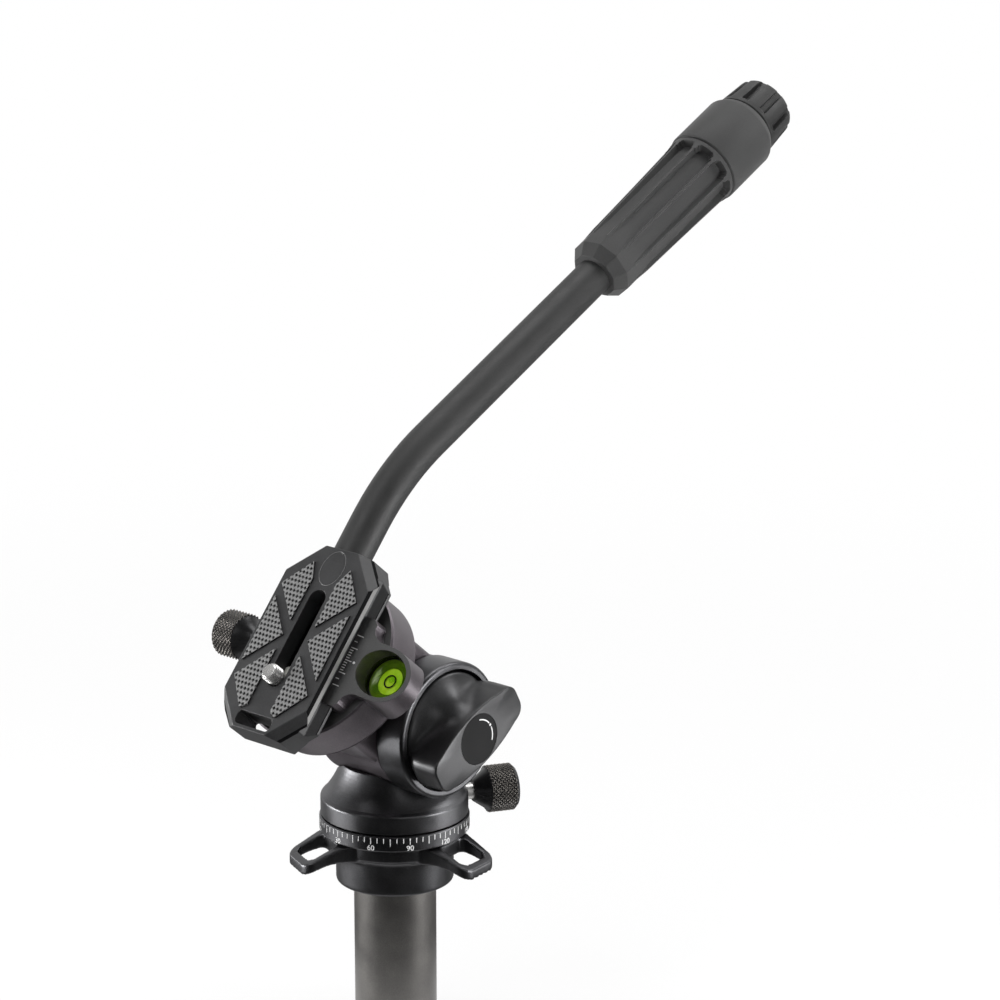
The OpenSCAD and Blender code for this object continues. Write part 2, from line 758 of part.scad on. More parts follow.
module level_lens() {
    color("#dcee9a") in_clamp() translate([level_x, 0, 0]) difference() {
        spin_z([[0, vial_top - 2.35], [level_r - 1.65, vial_top - 2.35], [level_r - 1.65, vial_top - 0.75],
            [level_r - 0.65, vial_top - 0.75], [level_r - 0.65, vial_top - 0.2], [0, vial_top]]);
        translate([0, 0, vial_top - 2]) cylinder(r = level_r - 2.6, h = 1.2);
    }
}

module level_bubble() {
    color("#eef6c8") in_clamp() translate([level_x - 0.8, level_r - 5.2, vial_top - 1.9])
        cylinder(r = 1.7, h = 1);
}

module clamp_jaw() {
    half = jaw_len / 2;
    color("#232325") in_clamp() difference() {
        rotate([90, 0, 0]) translate([0, 0, -half]) linear_extrude(jaw_len)
            polygon([[-lip_x, lip_n], [-lip_x, jaw_top],
                [-jaw_out + 1, jaw_top - jaw_slope * (jaw_out - 1 - lip_x)],
                [-jaw_out, jaw_top - jaw_slope * (jaw_out - lip_x) - 0.8], [-jaw_out, jaw_seat + 0.2],
                [-jaw_in, jaw_seat + 0.2], [-jaw_in, slope_sum - jaw_in]]);
        translate([0, 0, screw_n]) rod_x(clamp_screw_r + fit + 0.25, -60, 0);
        for (y = [-pin_s, pin_s]) {
            translate([0, y, pin_n]) rod_x(bolt_r + fit, -jaw_out + 0.9, 0);
        }
        for (side = [-1, 1]) {
            translate([-jaw_out, side * half, 0]) rotate([0, 0, 45]) translate([-2.2, -2.2, 0])
                cube([4.4, 4.4, 80]);
        }
    }
}

module clamp_knob() {
    face = clamp_neck + knob_cone + knob_len;
    color("#161617") in_clamp() translate([0, 0, screw_n]) mirror([1, 0, 0]) difference() {
        union() {
            knurled_knob(face);
            rod_x(3.4, jaw_out + jaw_travel + gap, clamp_neck + 1);
        }
        rod_x(clamp_screw_r + snug, 0, clamp_neck + 9);
        rod_x(knob_r - 2.4, face - 0.5, face + 1);
    }
}

module clamp_screw() {
    color("#b3b5b7") in_clamp() translate([0, 0, screw_n]) rod_x(clamp_screw_r, -clamp_neck - 8.8, -3.8);
}

// Plan of the plate with its corners cut
module plate_plan(cut) {
    a = half_w;
    b = plate_len / 2;
    polygon([[a, cut - b], [a, b - cut], [a - cut, b], [cut - a, b], [-a, b - cut], [-a, cut - b],
        [cut - a, -b], [a - cut, -b]]);
}

module camera_plate() {
    half = plate_len / 2;
    low = (half_w + half - corner_low) / sqrt(2);
    top = (half_w + half - corner_top) / sqrt(2);
    color("#2b2b2d") in_clamp() difference() {
        union() {
            for (y = [-half, half - end_len]) {
                intersection() {
                    translate([-half_w, y, plate_n - end_drop]) cube([plate_w, end_len, end_drop + 1]);
                    translate([0, 0, plate_n - 5]) linear_extrude(10) plate_plan(corner_low);
                }
            }
            intersection() {
                rotate([90, 0, 0]) translate([0, 0, -half]) linear_extrude(plate_len)
                    polygon([[half_w - 0.3, plate_n], [half_w, plate_n + 0.3], [half_w, foot_n],
                        [waist, foot_n + groove], [waist, plate_top - flange_t],
                        [half_w, plate_top - flange_t], [half_w, plate_top - 1.1],
                        [half_w - 0.5, plate_top], [0.5 - half_w, plate_top], [-half_w, plate_top - 1.1],
                        [-half_w, plate_top - flange_t], [-waist, plate_top - flange_t],
                        [-waist, foot_n + groove], [-half_w, foot_n], [-half_w, plate_n + 0.3],
                        [0.3 - half_w, plate_n]]);
                translate([0, 0, plate_n - 1]) linear_extrude(plate_t + 2) plate_plan(corner_low);
            }
        }
        for (x = [0, 1], y = [0, 1]) {
            mirror([x, 0, 0]) mirror([0, y, 0]) rotate([0, 0, 45]) rotate([90, 0, 0])
                translate([0, 0, -60]) linear_extrude(120)
                polygon([[top, plate_top], [low, plate_top - flange_t], [low + 20, plate_top - flange_t],
                    [low + 20, plate_top + 5], [top, plate_top + 5]]);
        }
        translate([0, slot_a, plate_n - 1]) cylinder(r = slot_r, h = plate_t + 2);
        translate([0, slot_b, plate_n - 1]) cylinder(r = slot_r, h = plate_t + 2);
        translate([-slot_r, slot_a, plate_n - 1]) cube([2 * slot_r, slot_b - slot_a, plate_t + 2]);
        translate([0, slot_a, plate_n - 1]) cylinder(r = channel_r, h = plate_t - web_t + 1);
        translate([0, slot_b, plate_n - 1]) cylinder(r = channel_r, h = plate_t - web_t + 1);
        translate([-channel_r, slot_a, plate_n - 1])
            cube([2 * channel_r, slot_b - slot_a, plate_t - web_t + 1]);
        translate([-7.7, 1.3 - half, plate_n - 5]) cube([15.4, 4.5, plate_t + 10]);
    }
}

module pad_plan() {
    polygon([[5.5, 5.4], [16.8, 16.8], [8.2, 26.6], [5.3, 21]]);
    polygon([[16.8, 12.2], [16.8, -11.4], [5.6, 0.3]]);
    polygon([[5.4, -4.8], [16.6, -16.8], [8, -26.6], [5.3, -25.4]]);
}

module grip_pads() {
    color("#161616") in_clamp() translate([0, 0, plate_top]) union() {
        linear_extrude(pad_h) pad_plan();
        mirror([1, 0, 0]) linear_extrude(pad_h) pad_plan();
    }
}

module screw_washer() {
    color("#d8d8d2") in_clamp() translate([0, slot_a, plate_top - web_t - washer_t - 0.05])
        ring_z(camera_r - 0.5 + fit, channel_r - gap, 0, washer_t);
}

module camera_screw() {
    head_n = plate_top - web_t - washer_t - 0.1 - head_t;
    thread_n = plate_top + pad_h + 0.1;
    color("#c4c6c8") in_clamp() translate([0, slot_a, 0]) difference() {
        union() {
            translate([0, 0, head_n]) cylinder(r = channel_r - gap - 0.3, h = head_t);
            translate([0, 0, head_n + 1]) cylinder(r = camera_r - 0.5, h = plate_top + pad_h - head_n);
            translate([0, 0, thread_n]) cylinder(r = camera_r, h = plate_top + camera_up - 0.6 - thread_n);
            translate([0, 0, plate_top + camera_up - 0.6])
                spin_z([[0, 0], [camera_r, 0], [camera_r - 0.6, 0.6], [0, 0.6]]);
        }
        translate([0, 0, head_n - 1]) cylinder(r = 2.3, h = 3.4, $fn = 6);
    }
}

// A length of tube along Y, its wall a hair thinner than the bend's so that it can run into it
module tube_y(a, b) {
    difference() {
        rod_y(tube_r - weld, a, b);
        rod_y(spigot_r + snug + weld, a - 1, b + 1);
    }
}

module handle_tube() {
    end = grip_at + grip_len * 0.8;
    color("#1b1b1c") in_handle() union() {
        tube_y(tube_s, bend_s - bend_t + 0.4);
        translate([0, bend_s - bend_t, -bend_r]) rotate([0, -90, 0]) union() {
            rotate_extrude(angle = bend_deg) translate([bend_r, 0]) difference() {
                circle(r = tube_r);
                circle(r = spigot_r + snug);
            }
            rotate([0, 0, bend_deg]) translate([bend_r, 0, 0]) tube_y(-0.4, end - bend_t);
        }
    }
}

module handle_spigot() {
    color("#a9abac") in_handle() rod_y(spigot_r, socket_start + 1.8, bend_s - bend_t - 1);
}

module handle_nut() {
    color("#161617") in_handle() difference() {
        spin_y([[0, nut_s], [8.4, nut_s], [9, nut_s + 0.6], [9, nut_s + nut_len - 1.2],
            [7.8, nut_s + nut_len], [0, nut_s + nut_len]]);
        rod_y(spigot_r + fit, nut_s - 1, nut_s + nut_len + 1);
    }
}

module grip_sleeve() {
    rib = band_r - 0.6;
    color("#4a4a4a") past_bend() translate([0, grip_at, 0]) difference() {
        union() {
            intersection() {
                rotate([-90, 0, 0])
                    cylinder(r = grip_r / cos(180 / grip_ribs), h = grip_band + 2, $fn = grip_ribs);
                spin_y([[0, 0], [grip_r - 2.4, 0], [grip_r + 0.3, 3.2], [grip_r + 0.3, 7],
                    [grip_r + 0.2, 9], [grip_r - 0.4, 12], [grip_r - 0.6, grip_band + 1.5],
                    [0, grip_band + 1.5]]);
            }
            for (i = [0 : grip_ribs - 1]) {
                rotate([0, 360 * (i + 0.5) / grip_ribs, 0]) rotate([0, -90, 0]) translate([0, 0, -0.9])
                    linear_extrude(1.8) polygon([[grip_r - 2, 6], [grip_r + 0.1, 8], [rib, grip_band - 0.5],
                        [rib, grip_band + 1], [grip_r - 2, grip_band + 1]]);
            }
            spin_y(concat([[0, grip_band - 0.6], [band_r - 1.6, grip_band - 0.6], [band_r - 0.4, grip_band],
                [band_r, grip_band + 1.4], [band_r, grip_end - 3]],
                arc(band_r - 1.2, grip_end - 3, 1.2, 0, 50, 4),
                [[band_r - 2.2, grip_end - 0.4], [0, grip_end - 0.4]]));
        }
        rod_y(tube_r + snug, -1, grip_len);
    }
}

module grip_end_knob() {
    long = grip_len - grip_end;
    color("#454545") past_bend() translate([0, grip_at + grip_end, 0]) difference() {
        spin_y(concat([[0, 0], [band_r - 1.9, 0], [band_r - 1.7, 0.8], [band_r - 2.6, long - 3.4]],
            arc(band_r - 5.8, long - 3.2, 3.2, 0, 90, 6), [[0, long]]));
        for (i = [0 : grip_ribs - 1]) {
            rotate([0, 360 * i / grip_ribs, 0]) translate([band_r - 0.6, 0, 0]) rod_y(2.7, 2.4, long + 1);
        }
    }
}

column_tube();
strap_collar();
mount_stud();
base_disc();
pan_hub();
hub_screws();
pan_housing();
hub_ring();
drag_washer();
seal_ring();
tilt_axle();
axle_washer();
damper_rotor();
friction_disc();
pan_lock_knob();
pan_lock_screw();
pan_brake_pad();
tilt_lock_knob();
tilt_lock_face();
tilt_lock_nut();
tilt_body();
tilt_bush();
bearing_plate();
damper_cup();
end_cover();
cover_screws();
clamp_base();
clamp_bolts();
guide_pins();
level_vial();
level_lens();
level_bubble();
clamp_jaw();
clamp_knob();
clamp_screw();
camera_plate();
grip_pads();
screw_washer();
camera_screw();
handle_tube();
handle_spigot();
handle_nut();
grip_sleeve();
grip_end_knob();
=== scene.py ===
from math import atan, atan2, cos, degrees, hypot, pi, radians, sin, sqrt, tan

import bpy
from mathutils import Matrix, Vector


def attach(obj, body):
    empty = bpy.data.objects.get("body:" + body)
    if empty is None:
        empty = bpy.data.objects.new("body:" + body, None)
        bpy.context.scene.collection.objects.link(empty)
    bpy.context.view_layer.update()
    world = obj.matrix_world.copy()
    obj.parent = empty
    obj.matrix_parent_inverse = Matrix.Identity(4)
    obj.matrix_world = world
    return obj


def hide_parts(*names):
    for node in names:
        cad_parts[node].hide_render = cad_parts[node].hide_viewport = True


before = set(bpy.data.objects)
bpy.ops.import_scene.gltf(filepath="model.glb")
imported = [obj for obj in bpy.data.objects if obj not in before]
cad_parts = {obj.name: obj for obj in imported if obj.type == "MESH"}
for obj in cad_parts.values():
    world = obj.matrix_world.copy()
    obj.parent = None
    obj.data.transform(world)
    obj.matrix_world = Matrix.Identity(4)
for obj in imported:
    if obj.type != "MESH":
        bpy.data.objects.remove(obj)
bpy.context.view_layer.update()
mm = 0.001


def turn(angle, axis):
    return Matrix.Rotation(radians(angle), 4, axis)


def shift(x, y, z):
    return Matrix.Translation((x, y, z))


# where the part's groups stand, in millimetres and degrees
rest = {"tiltHeight": 106.0, "tiltDegrees": 49.6, "clampShift": -1.4, "handleSide": -18.0,
        "handleLift": 33.0, "bendAlong": 69.5, "bendDegrees": 22.1, "lockHeight": 76.1, "lockDegrees": 61.0}
unit = Matrix.Scale(mm, 4)
onAxis = shift(0, 0, rest["tiltHeight"])
inTilt = onAxis @ turn(rest["tiltDegrees"], "X")
inClamp = inTilt @ shift(0, rest["clampShift"], 0)
inHandle = inTilt @ shift(rest["handleSide"], 0, rest["handleLift"])
pastBend = inHandle @ shift(0, rest["bendAlong"], 0) @ turn(-rest["bendDegrees"], "X")
inLock = shift(0, 0, rest["lockHeight"]) @ turn(rest["lockDegrees"], "Z")
alongX = turn(90, "Y")  # turns a piece made along Z to point along X
alongMinusX = turn(-90, "Y")
alongY = turn(-90, "X")
toClamp = (unit @ inClamp).inverted()
clampUp = (inClamp.to_3x3() @ Vector((0, 0, 1))).normalized()


def values(spec, keys):
    return [spec[key] for key in keys.split()]


def editMode():
    bpy.ops.object.mode_set(mode="EDIT")


def objectMode():
    bpy.ops.object.mode_set(mode="OBJECT")


def clearSelection():
    if bpy.context.mode != "OBJECT":
        objectMode()
    bpy.ops.object.select_all(action="DESELECT")


def activate(piece):
    clearSelection()
    piece.select_set(True)
    bpy.context.view_layer.objects.active = piece


def selectAll():
    bpy.ops.mesh.select_all(action="SELECT")


def push(x, y, z):
    # extrudes what is selected
    bpy.ops.mesh.extrude_region_move(TRANSFORM_OT_translate={"value": (x, y, z)})


def outwards():
    # turns every face outwards and leaves edit mode
    selectAll()
    bpy.ops.mesh.normals_make_consistent(inside=False)
    objectMode()


def stretch(size, step):
    # scales a new piece's mesh about the origin and moves it, with edit mode left on
    editMode()
    selectAll()
    bpy.ops.transform.resize(value=size, center_override=(0, 0, 0))
    bpy.ops.transform.translate(value=step)
    return bpy.context.object


def bakePlace():
    bpy.ops.object.transform_apply(location=True, rotation=True, scale=True)


def pick(piece, kind, test):
    # selects by place, with edit mode left on; test gets a centre, and an edge's direction or a face's normal
    activate(piece)
    editMode()
    bpy.ops.mesh.select_mode(type=kind)
    bpy.ops.mesh.select_all(action="DESELECT")
    objectMode()
    mesh = piece.data
    if kind == "EDGE":
        for edge in mesh.edges:
            a, b = (mesh.vertices[i].co for i in edge.vertices)
            edge.select = bool(test((a + b) / 2, (b - a).normalized()))
    else:
        for face in mesh.polygons:
            face.select = bool(test(face.center, face.normal))
    editMode()


def modify(piece, kind, **settings):
    activate(piece)
    change = piece.modifiers.new(kind.title(), kind)
    for key, value in settings.items():
        setattr(change, key, value)
    bpy.ops.object.modifier_apply(modifier=change.name)


def disc(sides, radius, fill):
    clearSelection()
    bpy.ops.mesh.primitive_circle_add(vertices=sides, radius=radius, location=(0, 0, 0), fill_type=fill)
    return bpy.context.object


def turned(points, sides):
    # a turned piece along Z: a filled circle, extruded and scaled from point to point (radius, height)
    radius, height = points[0]
    piece = disc(sides, radius, "NGON")
    editMode()
    selectAll()
    bpy.ops.transform.translate(value=(0, 0, height))
    for nextRadius, nextHeight in points[1:]:
        push(0, 0, nextHeight - height)
        grow = nextRadius / radius
        bpy.ops.transform.resize(value=(grow, grow, 1), center_override=(0, 0, nextHeight))
        radius, height = nextRadius, nextHeight
    outwards()
    return piece


def torus(radius, line, longWay, shortWay):
    clearSelection()
    bpy.ops.mesh.primitive_torus_add(major_radius=radius, minor_radius=line, major_segments=longWay,
                                     minor_segments=shortWay, location=(0, 0, 0))


def polar(co):
    return hypot(co.x, co.y), atan2(co.y, co.x)


def around(radius, angle, z):
    return Vector((radius * cos(angle), radius * sin(angle), z))


def reshape(piece, rule):
    # moves each point of a mesh by a rule, as a sculptor pulls it
    for point in piece.data.vertices:
        point.co = rule(point.co.copy())
    piece.data.update()


def lay(piece, place):
    reshape(piece, lambda co: place @ co)


def markCrests(piece, rule):
    # keeps how far each point stands out, 0 to 1, for the finishes that paint their crests paler as a
    # highlight and their hollows darker as shade
    layer = piece.data.attributes.new("crest", "FLOAT", "POINT")
    for point, value in zip(piece.data.vertices, layer.data):
        value.value = min(max(rule(point.co), 0.0), 1.0)


def copyOf(piece):
    # a copy with a mesh of its own
    twin = piece.copy()
    twin.data = piece.data.copy()
    bpy.context.scene.collection.objects.link(twin)
    return twin


def gather(pieces):
    # joins loose pieces into the first
    clearSelection()
    for piece in pieces:
        piece.select_set(True)
    bpy.context.view_layer.objects.active = pieces[0]
    bpy.ops.object.join()
    return pieces[0]


def mergedCopy(node, name):
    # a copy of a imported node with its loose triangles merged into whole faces
    clearSelection()
    piece = bpy.data.objects.new(name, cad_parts[node].data.copy())
    bpy.context.scene.collection.objects.link(piece)
    activate(piece)
    bpy.ops.mesh.customdata_custom_splitnormals_clear()
    editMode()
    selectAll()
    bpy.ops.mesh.remove_doubles(threshold=0.004 * mm)
    bpy.ops.mesh.dissolve_limited(angle_limit=radians(0.5))
    objectMode()
    return piece


def dress(piece, finish, body, nodes=(), smooth=32):
    # shades a piece that is already in its place, and ties it to its body
    activate(piece)
    bpy.ops.object.shade_smooth_by_angle(angle=radians(smooth))
    piece.data.materials.clear()
    piece.data.materials.append(finishes[finish])
    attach(piece, body)
    if nodes:
        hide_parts(*nodes)
    return piece


def settle(piece, name, place, finish, body, nodes=(), smooth=32):
    # puts a finished piece where it belongs, with its place in its mesh
    activate(piece)
    piece.name = name
    piece.data.name = name
    piece.matrix_world = unit @ place
    bakePlace()
    return dress(piece, finish, body, nodes, smooth)


def softCopy(node, name, edge, finish, body, first):
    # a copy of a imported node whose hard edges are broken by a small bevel; first is work to do before that
    piece = mergedCopy(node, name)
    if first:
        first(piece)
    modify(piece, "BEVEL", width=edge * mm, segments=2, limit_method="ANGLE", angle_limit=radians(30),
           use_clamp_overlap=False, miter_outer="MITER_ARC")
    dress(piece, finish, body, [node])
    modify(piece, "WEIGHTED_NORMAL", keep_sharp=True)  # large flats stay flat beside the broken edges
    return piece


def toLinear(code):
    # sRGB hex to the linear colour that sockets take
    parts = [int(code[i:i + 2], 16) / 255 for i in (1, 3, 5)]
    return [p / 12.92 if p <= 0.04045 else ((p + 0.055) / 1.055) ** 2.4 for p in parts] + [1.0]


def addNode(tree, kind, settings=None, links=None, out=0):
    # a shader node with its settings and links; gives back one of its outputs
    node = tree.nodes.new("ShaderNode" + kind)
    for key, value in (settings or {}).items():
        if isinstance(key, str) and hasattr(node, key):
            setattr(node, key, value)
        else:
            node.inputs[key].default_value = value
    for key, source in (links or {}).items():
        tree.links.new(source, node.inputs[key])
    return node.outputs[out] if node.outputs else None


def newTree(name):
    material = bpy.data.materials.new(name)
    material.use_nodes = True
    material.node_tree.nodes.clear()
    return material, material.node_tree


def objectPlace(tree):
    return addNode(tree, "TexCoord", out="Object")


def noise(tree, place, size, detail, roughness=0.5):
    # uneven spots about this many millimetres apart
    settings = {"Scale": 1 / (size * mm), "Detail": detail, "Roughness": roughness}
    return addNode(tree, "TexNoise", settings, {"Vector": place}, "Fac")


def ramp(tree, source, *stops):
    # a colour ramp with two stops, each a place and a colour code
    colour = addNode(tree, "ValToRGB", {}, {"Fac": source}, "Color")
    for element, (place, code) in zip(colour.node.color_ramp.elements, stops):
        element.position = place
        element.color = toLinear(code)
    return colour


def towards(tree, colour, code, share):
    # mixes a colour towards a plain one
    return addNode(tree, "Mix", {"data_type": "RGBA", 7: toLinear(code)}, {0: share, 6: colour}, 2)


def span(tree, source, start, end, low, high, kind="LINEAR"):
    # maps a value from one span to another
    settings = {"interpolation_type": kind, "From Min": start, "From Max": end, "To Min": low, "To Max": high}
    return addNode(tree, "MapRange", settings, {"Value": source})


def combine(tree, operation, a, b):
    return addNode(tree, "Math", {"operation": operation}, {0: a, 1: b})


def showOn(tree, surface):
    addNode(tree, "OutputMaterial", {}, {"Surface": surface})


def makeFinish(name, spec):
    # mottled colour, uneven gloss, a fine grain in relief, paler rubbed edges and, where asked, crests painted
    # paler as a painted highlight, all from sizes in millimetres
    material, tree = newTree(name)
    place = objectPlace(tree)
    mottle = noise(tree, place, spec["mottle"], 4.0)
    grain = noise(tree, place, spec["grain"], 3.0, 0.6)
    tone = ramp(tree, mottle, (0.32, spec["dark"]), (0.68, spec["light"]))
    speck = ramp(tree, grain, (0.30, spec["speckDark"]), (0.72, spec["speckLight"]))
    settings = {"data_type": "RGBA", "blend_type": "MULTIPLY", 0: 1.0}
    colour = addNode(tree, "Mix", settings, {6: tone, 7: speck}, 2)
    # edges turning away from the flat face are mixed towards a paler tone: rubbed wear, and on the knurl a
    # painted highlight as well
    rounded = addNode(tree, "Bevel", {"samples": 4, "Radius": spec["edge"] * mm})
    flat = addNode(tree, "NewGeometry", out="Normal")
    bend = addNode(tree, "VectorMath", {"operation": "DOT_PRODUCT"}, {0: rounded, 1: flat}, "Value")
    rub = span(tree, bend, 0.985, 0.80, 0.0, spec["rub"])
    colour = towards(tree, colour, spec["rubbed"], combine(tree, "MULTIPLY", rub, mottle))
    # crests are mixed towards a paler colour by how far they stand out: a painted highlight on the crests,
    # with painted shade left in the hollows
    if "crest" in spec:
        crest = addNode(tree, "Attribute", {"attribute_name": "crest"}, out="Fac")
        colour = towards(tree, colour, spec["crest"], span(tree, crest, spec["crestFrom"], 1.0, 0.0, 1.0))
    rough, spread = values(spec, "roughness roughSpread")
    gloss = span(tree, mottle, 0.3, 0.7, rough - spread, rough + spread)
    relief = addNode(tree, "Bump", {"Strength": spec["reliefStrength"], "Distance": spec["relief"] * mm},
                     {"Height": grain, "Normal": rounded})
    settings = {"Metallic": spec["metallic"], "Specular IOR Level": spec["specular"],
                "Sheen Weight": spec["sheen"], "Sheen Roughness": 0.5}
    showOn(tree, addNode(tree, "BsdfPrincipled", settings,
                         {"Base Color": colour, "Roughness": gloss, "Normal": relief}))
    return material


baseFinish = {"mottle": 9.0, "grain": 0.35, "speckDark": "#d8d8d8", "speckLight": "#ffffff", "edge": 0.25,
              "rub": 0.8, "rubbed": "#8c8c8c", "metallic": 0.0, "specular": 0.5, "sheen": 0.0,
              "roughness": 0.38, "roughSpread": 0.05, "relief": 0.03, "reliefStrength": 0.35, "crestFrom": 0.4}


def vary(dark, light, **changes):
    return {**baseFinish, "dark": dark, "light": light, **changes}


finishSpecs = {
    # bead-blasted aluminium dyed black: a fine even grain, a matte glow and paler rubbed edges
    "blackAnodisedAluminium": vary("#383839", "#404041", metallic=0.3, roughness=0.46),
    # the same, machined smoother: softer grain and broad bright highlights on dark metal
    "smoothBlackAluminium": vary("#565658", "#606062", metallic=0.97, roughness=0.34, relief=0.02, grain=0.3),
    # dark grey dye with a warm cast on turned aluminium
    "gunmetalAluminium": vary("#5f5a5e", "#6c666b", metallic=0.75, roughness=0.36, relief=0.015,
                              rubbed="#9a949a"),
    # the clamp's milled faces beside the plate: dyed black but greyer, and matte
    "milledBlackAluminium": vary("#393939", "#424242", metallic=0.2, roughness=0.48, relief=0.02, grain=0.3),
    # painted shade: a black, matte line with little gloss where the plate's top edge falls into shadow
    "paintedShadowLine": vary("#0a0a0b", "#0e0e0f", roughness=0.7, specular=0.08, rub=0.0),
    # printed film on the wing's dial: flat and nearly black
    "blackDialFilm": vary("#131314", "#181819", roughness=0.6, specular=0.15, relief=0.01, grain=0.25,
                          rub=0.0),
    # drawn tube, grey dye, slightly warm
    "greyAnodisedTube": vary("#767472", "#807e7b", metallic=0.95, roughness=0.40, relief=0.02, grain=0.25),
    # matte powder coat on the handle's tube: even, dark grey, faintly pebbled
    "blackPowderCoat": vary("#262626", "#2d2d2d", roughness=0.54, relief=0.012, grain=0.4),
    # knurled aluminium dyed black: crests and edges painted paler, partly rubbed wear and partly a painted
    # highlight
    "knurledBlackWearAndGlint": vary("#3a3a3b", "#444445", metallic=0.75, roughness=0.32, rub=1.0, edge=0.16,
                                  rubbed="#b3aca4", crest="#a09a93"),
    # cast alloy with satin black paint
    "satinBlackCasting": vary("#3c3c3d", "#444445", metallic=0.75, roughness=0.34, relief=0.012, grain=0.3),
    # moulded rubber: matte and grey, with a dusty bloom
    "mouldedGripRubber": vary("#363636", "#3e3e3e", roughness=0.62, specular=0.4, roughSpread=0.08, grain=0.3,
                              relief=0.05, rub=0.4, rubbed="#6a6a6a", sheen=0.12),
    # the same of the grip's end knob, moulded darker
    "mouldedKnobRubber": vary("#1b1b1b", "#222222", roughness=0.55, roughSpread=0.08, grain=0.3, relief=0.05,
                              rub=0.4, rubbed="#6a6a6a", sheen=0.08),
    # moulded rubber of the plate's pads: painted shade makes the pits black, and a painted highlight makes the
    # ridges paler
    "padRubberPaintedLight": vary("#0c0c0c", "#141414", roughness=0.36, grain=0.2, rubbed="#8a8a8a",
                             crest="#848484", crestFrom=0.74),
    # turned stainless steel: bright, with fine tool marks
    "turnedStainless": vary("#d2d1cf", "#e4e3e1", metallic=0.75, roughness=0.28, grain=0.18, relief=0.01,
                            rub=0.2, rubbed="#f0f0f0"),
    # blackened steel of the small screws: dark, with a low gloss
    "blackOxideSteel": vary("#2c2c2e", "#363638", metallic=0.85, roughness=0.36, grain=0.18, relief=0.01),
    # milled aluminium left bare on a machined strip; on the plate's flange its pale tone is partly a painted
    # highlight
    "milledAluminium": vary("#6a6968", "#787776", roughness=0.36, grain=0.2, rubbed="#a8a8a8"),
    # turned brass of the bushes and pads
    "turnedBrass": vary("#a8823c", "#b8924a", metallic=1.0, roughness=0.28, grain=0.2, relief=0.01,
                        rubbed="#d8b870"),
    # moulded acetal washers
    "mouldedAcetal": vary("#d2d2cb", "#deded8", roughness=0.42, grain=0.3, relief=0.015, rubbed="#e8e8e4"),
    # pressed brake lining
    "brakeLining": vary("#453a30", "#56493c", roughness=0.75, grain=0.4, relief=0.06, rubbed="#6a5d50"),
    # black dye rubbed through by handling: a paler line
    "rubbedBlackAluminium": vary("#6a6a6a", "#767676", metallic=0.3, roughness=0.4),
    # lime acrylic of the level's sloping rim: a paler lime that paints the light let through from the spirit
    "limeAcrylic": vary("#4c6410", "#62801a", roughness=0.18, grain=0.5, relief=0.004, rub=0.1,
                        rubbed="#a8c848"),
    # cast acrylic dyed olive lining the level's recess, made dark as painted shade of the recess: glossy and
    # even
    "oliveAcrylicPaintedShade": vary("#141a06", "#20290a", roughness=0.15, grain=0.5, relief=0.004, rub=0.1,
                         rubbed="#8aa048"),
    # screen-printed white ink
    "whiteInk": vary("#dedede", "#efefef", roughness=0.5, grain=0.15, relief=0.01, rub=0.0),
}
finishes = {name: makeFinish(name, spec) for name, spec in finishSpecs.items()}


def makeClear():
    # clear acrylic as a thin wall: light passes, a gloss lies on top
    material, tree = newTree("clearAcrylic")
    shade = ramp(tree, noise(tree, objectPlace(tree), 3.0, 2.0), (0.3, "#eef8d8"), (0.7, "#ffffff"))
    glaze = addNode(tree, "BsdfGlossy", {"Roughness": 0.05})
    through = addNode(tree, "BsdfTransparent", {}, {"Color": shade})
    edge = addNode(tree, "LayerWeight", {"Blend": 0.08}, out="Fresnel")
    showOn(tree, addNode(tree, "MixShader", {}, {0: edge, 1: through, 2: glaze}))
    return material


def makeSpirit():
    # lime dyed spirit in the level: bright and slightly uneven under a glossy wall
    material, tree = newTree("limeSpirit")
    tone = ramp(tree, noise(tree, objectPlace(tree), 4.0, 2.0), (0.3, "#bfe62e"), (0.7, "#d6fa52"))
    settings = {"Roughness": 0.12, "Coat Weight": 0.5, "Coat Roughness": 0.04}
    showOn(tree, addNode(tree, "BsdfPrincipled", settings, {"Base Color": tone}))
    return material


finishes["clearAcrylic"] = makeClear()
finishes["limeSpirit"] = makeSpirit()
print("finishes made:", len(finishes))

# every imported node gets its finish; the pieces below replace those that show closely
nodeFinishes = {
    "blackAnodisedAluminium": "camera_plate clamp_jaw end_cover",
    "smoothBlackAluminium": "base_disc pan_housing strap_collar",
    "blackPowderCoat": "handle_tube",
    "gunmetalAluminium": "tilt_body clamp_base",
    "greyAnodisedTube": "column_tube",
    "knurledBlackWearAndGlint": "pan_lock_knob clamp_knob handle_nut",
    "satinBlackCasting": "tilt_lock_knob",
    "blackDialFilm": "tilt_lock_face",
    "mouldedGripRubber": "grip_sleeve grip_end_knob",
    "padRubberPaintedLight": "grip_pads seal_ring",
    "turnedStainless": "mount_stud hub_screws hub_ring tilt_axle axle_washer guide_pins clamp_screw "
                       "camera_screw handle_spigot pan_lock_screw",
    "blackOxideSteel": "cover_screws clamp_bolts",
    "milledAluminium": "pan_hub damper_rotor damper_cup",
    "turnedBrass": "pan_brake_pad tilt_lock_nut tilt_bush bearing_plate",
    "mouldedAcetal": "drag_washer screw_washer",
    "brakeLining": "friction_disc",
    "limeSpirit": "level_vial",
    "clearAcrylic": "level_lens level_bubble",
}
for finishName, nodeNames in nodeFinishes.items():
    for nodeName in nodeNames.split():
        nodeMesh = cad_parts[nodeName].data
        nodeMesh.materials.clear()
        nodeMesh.materials.append(finishes[finishName])
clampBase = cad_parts["clamp_base"].data
clampBase.materials.append(finishes["milledBlackAluminium"])
for face in clampBase.polygons:
    if face.normal.dot(clampUp) > 0.88:
        face.material_index = 1  # the faces beside the plate are dyed black
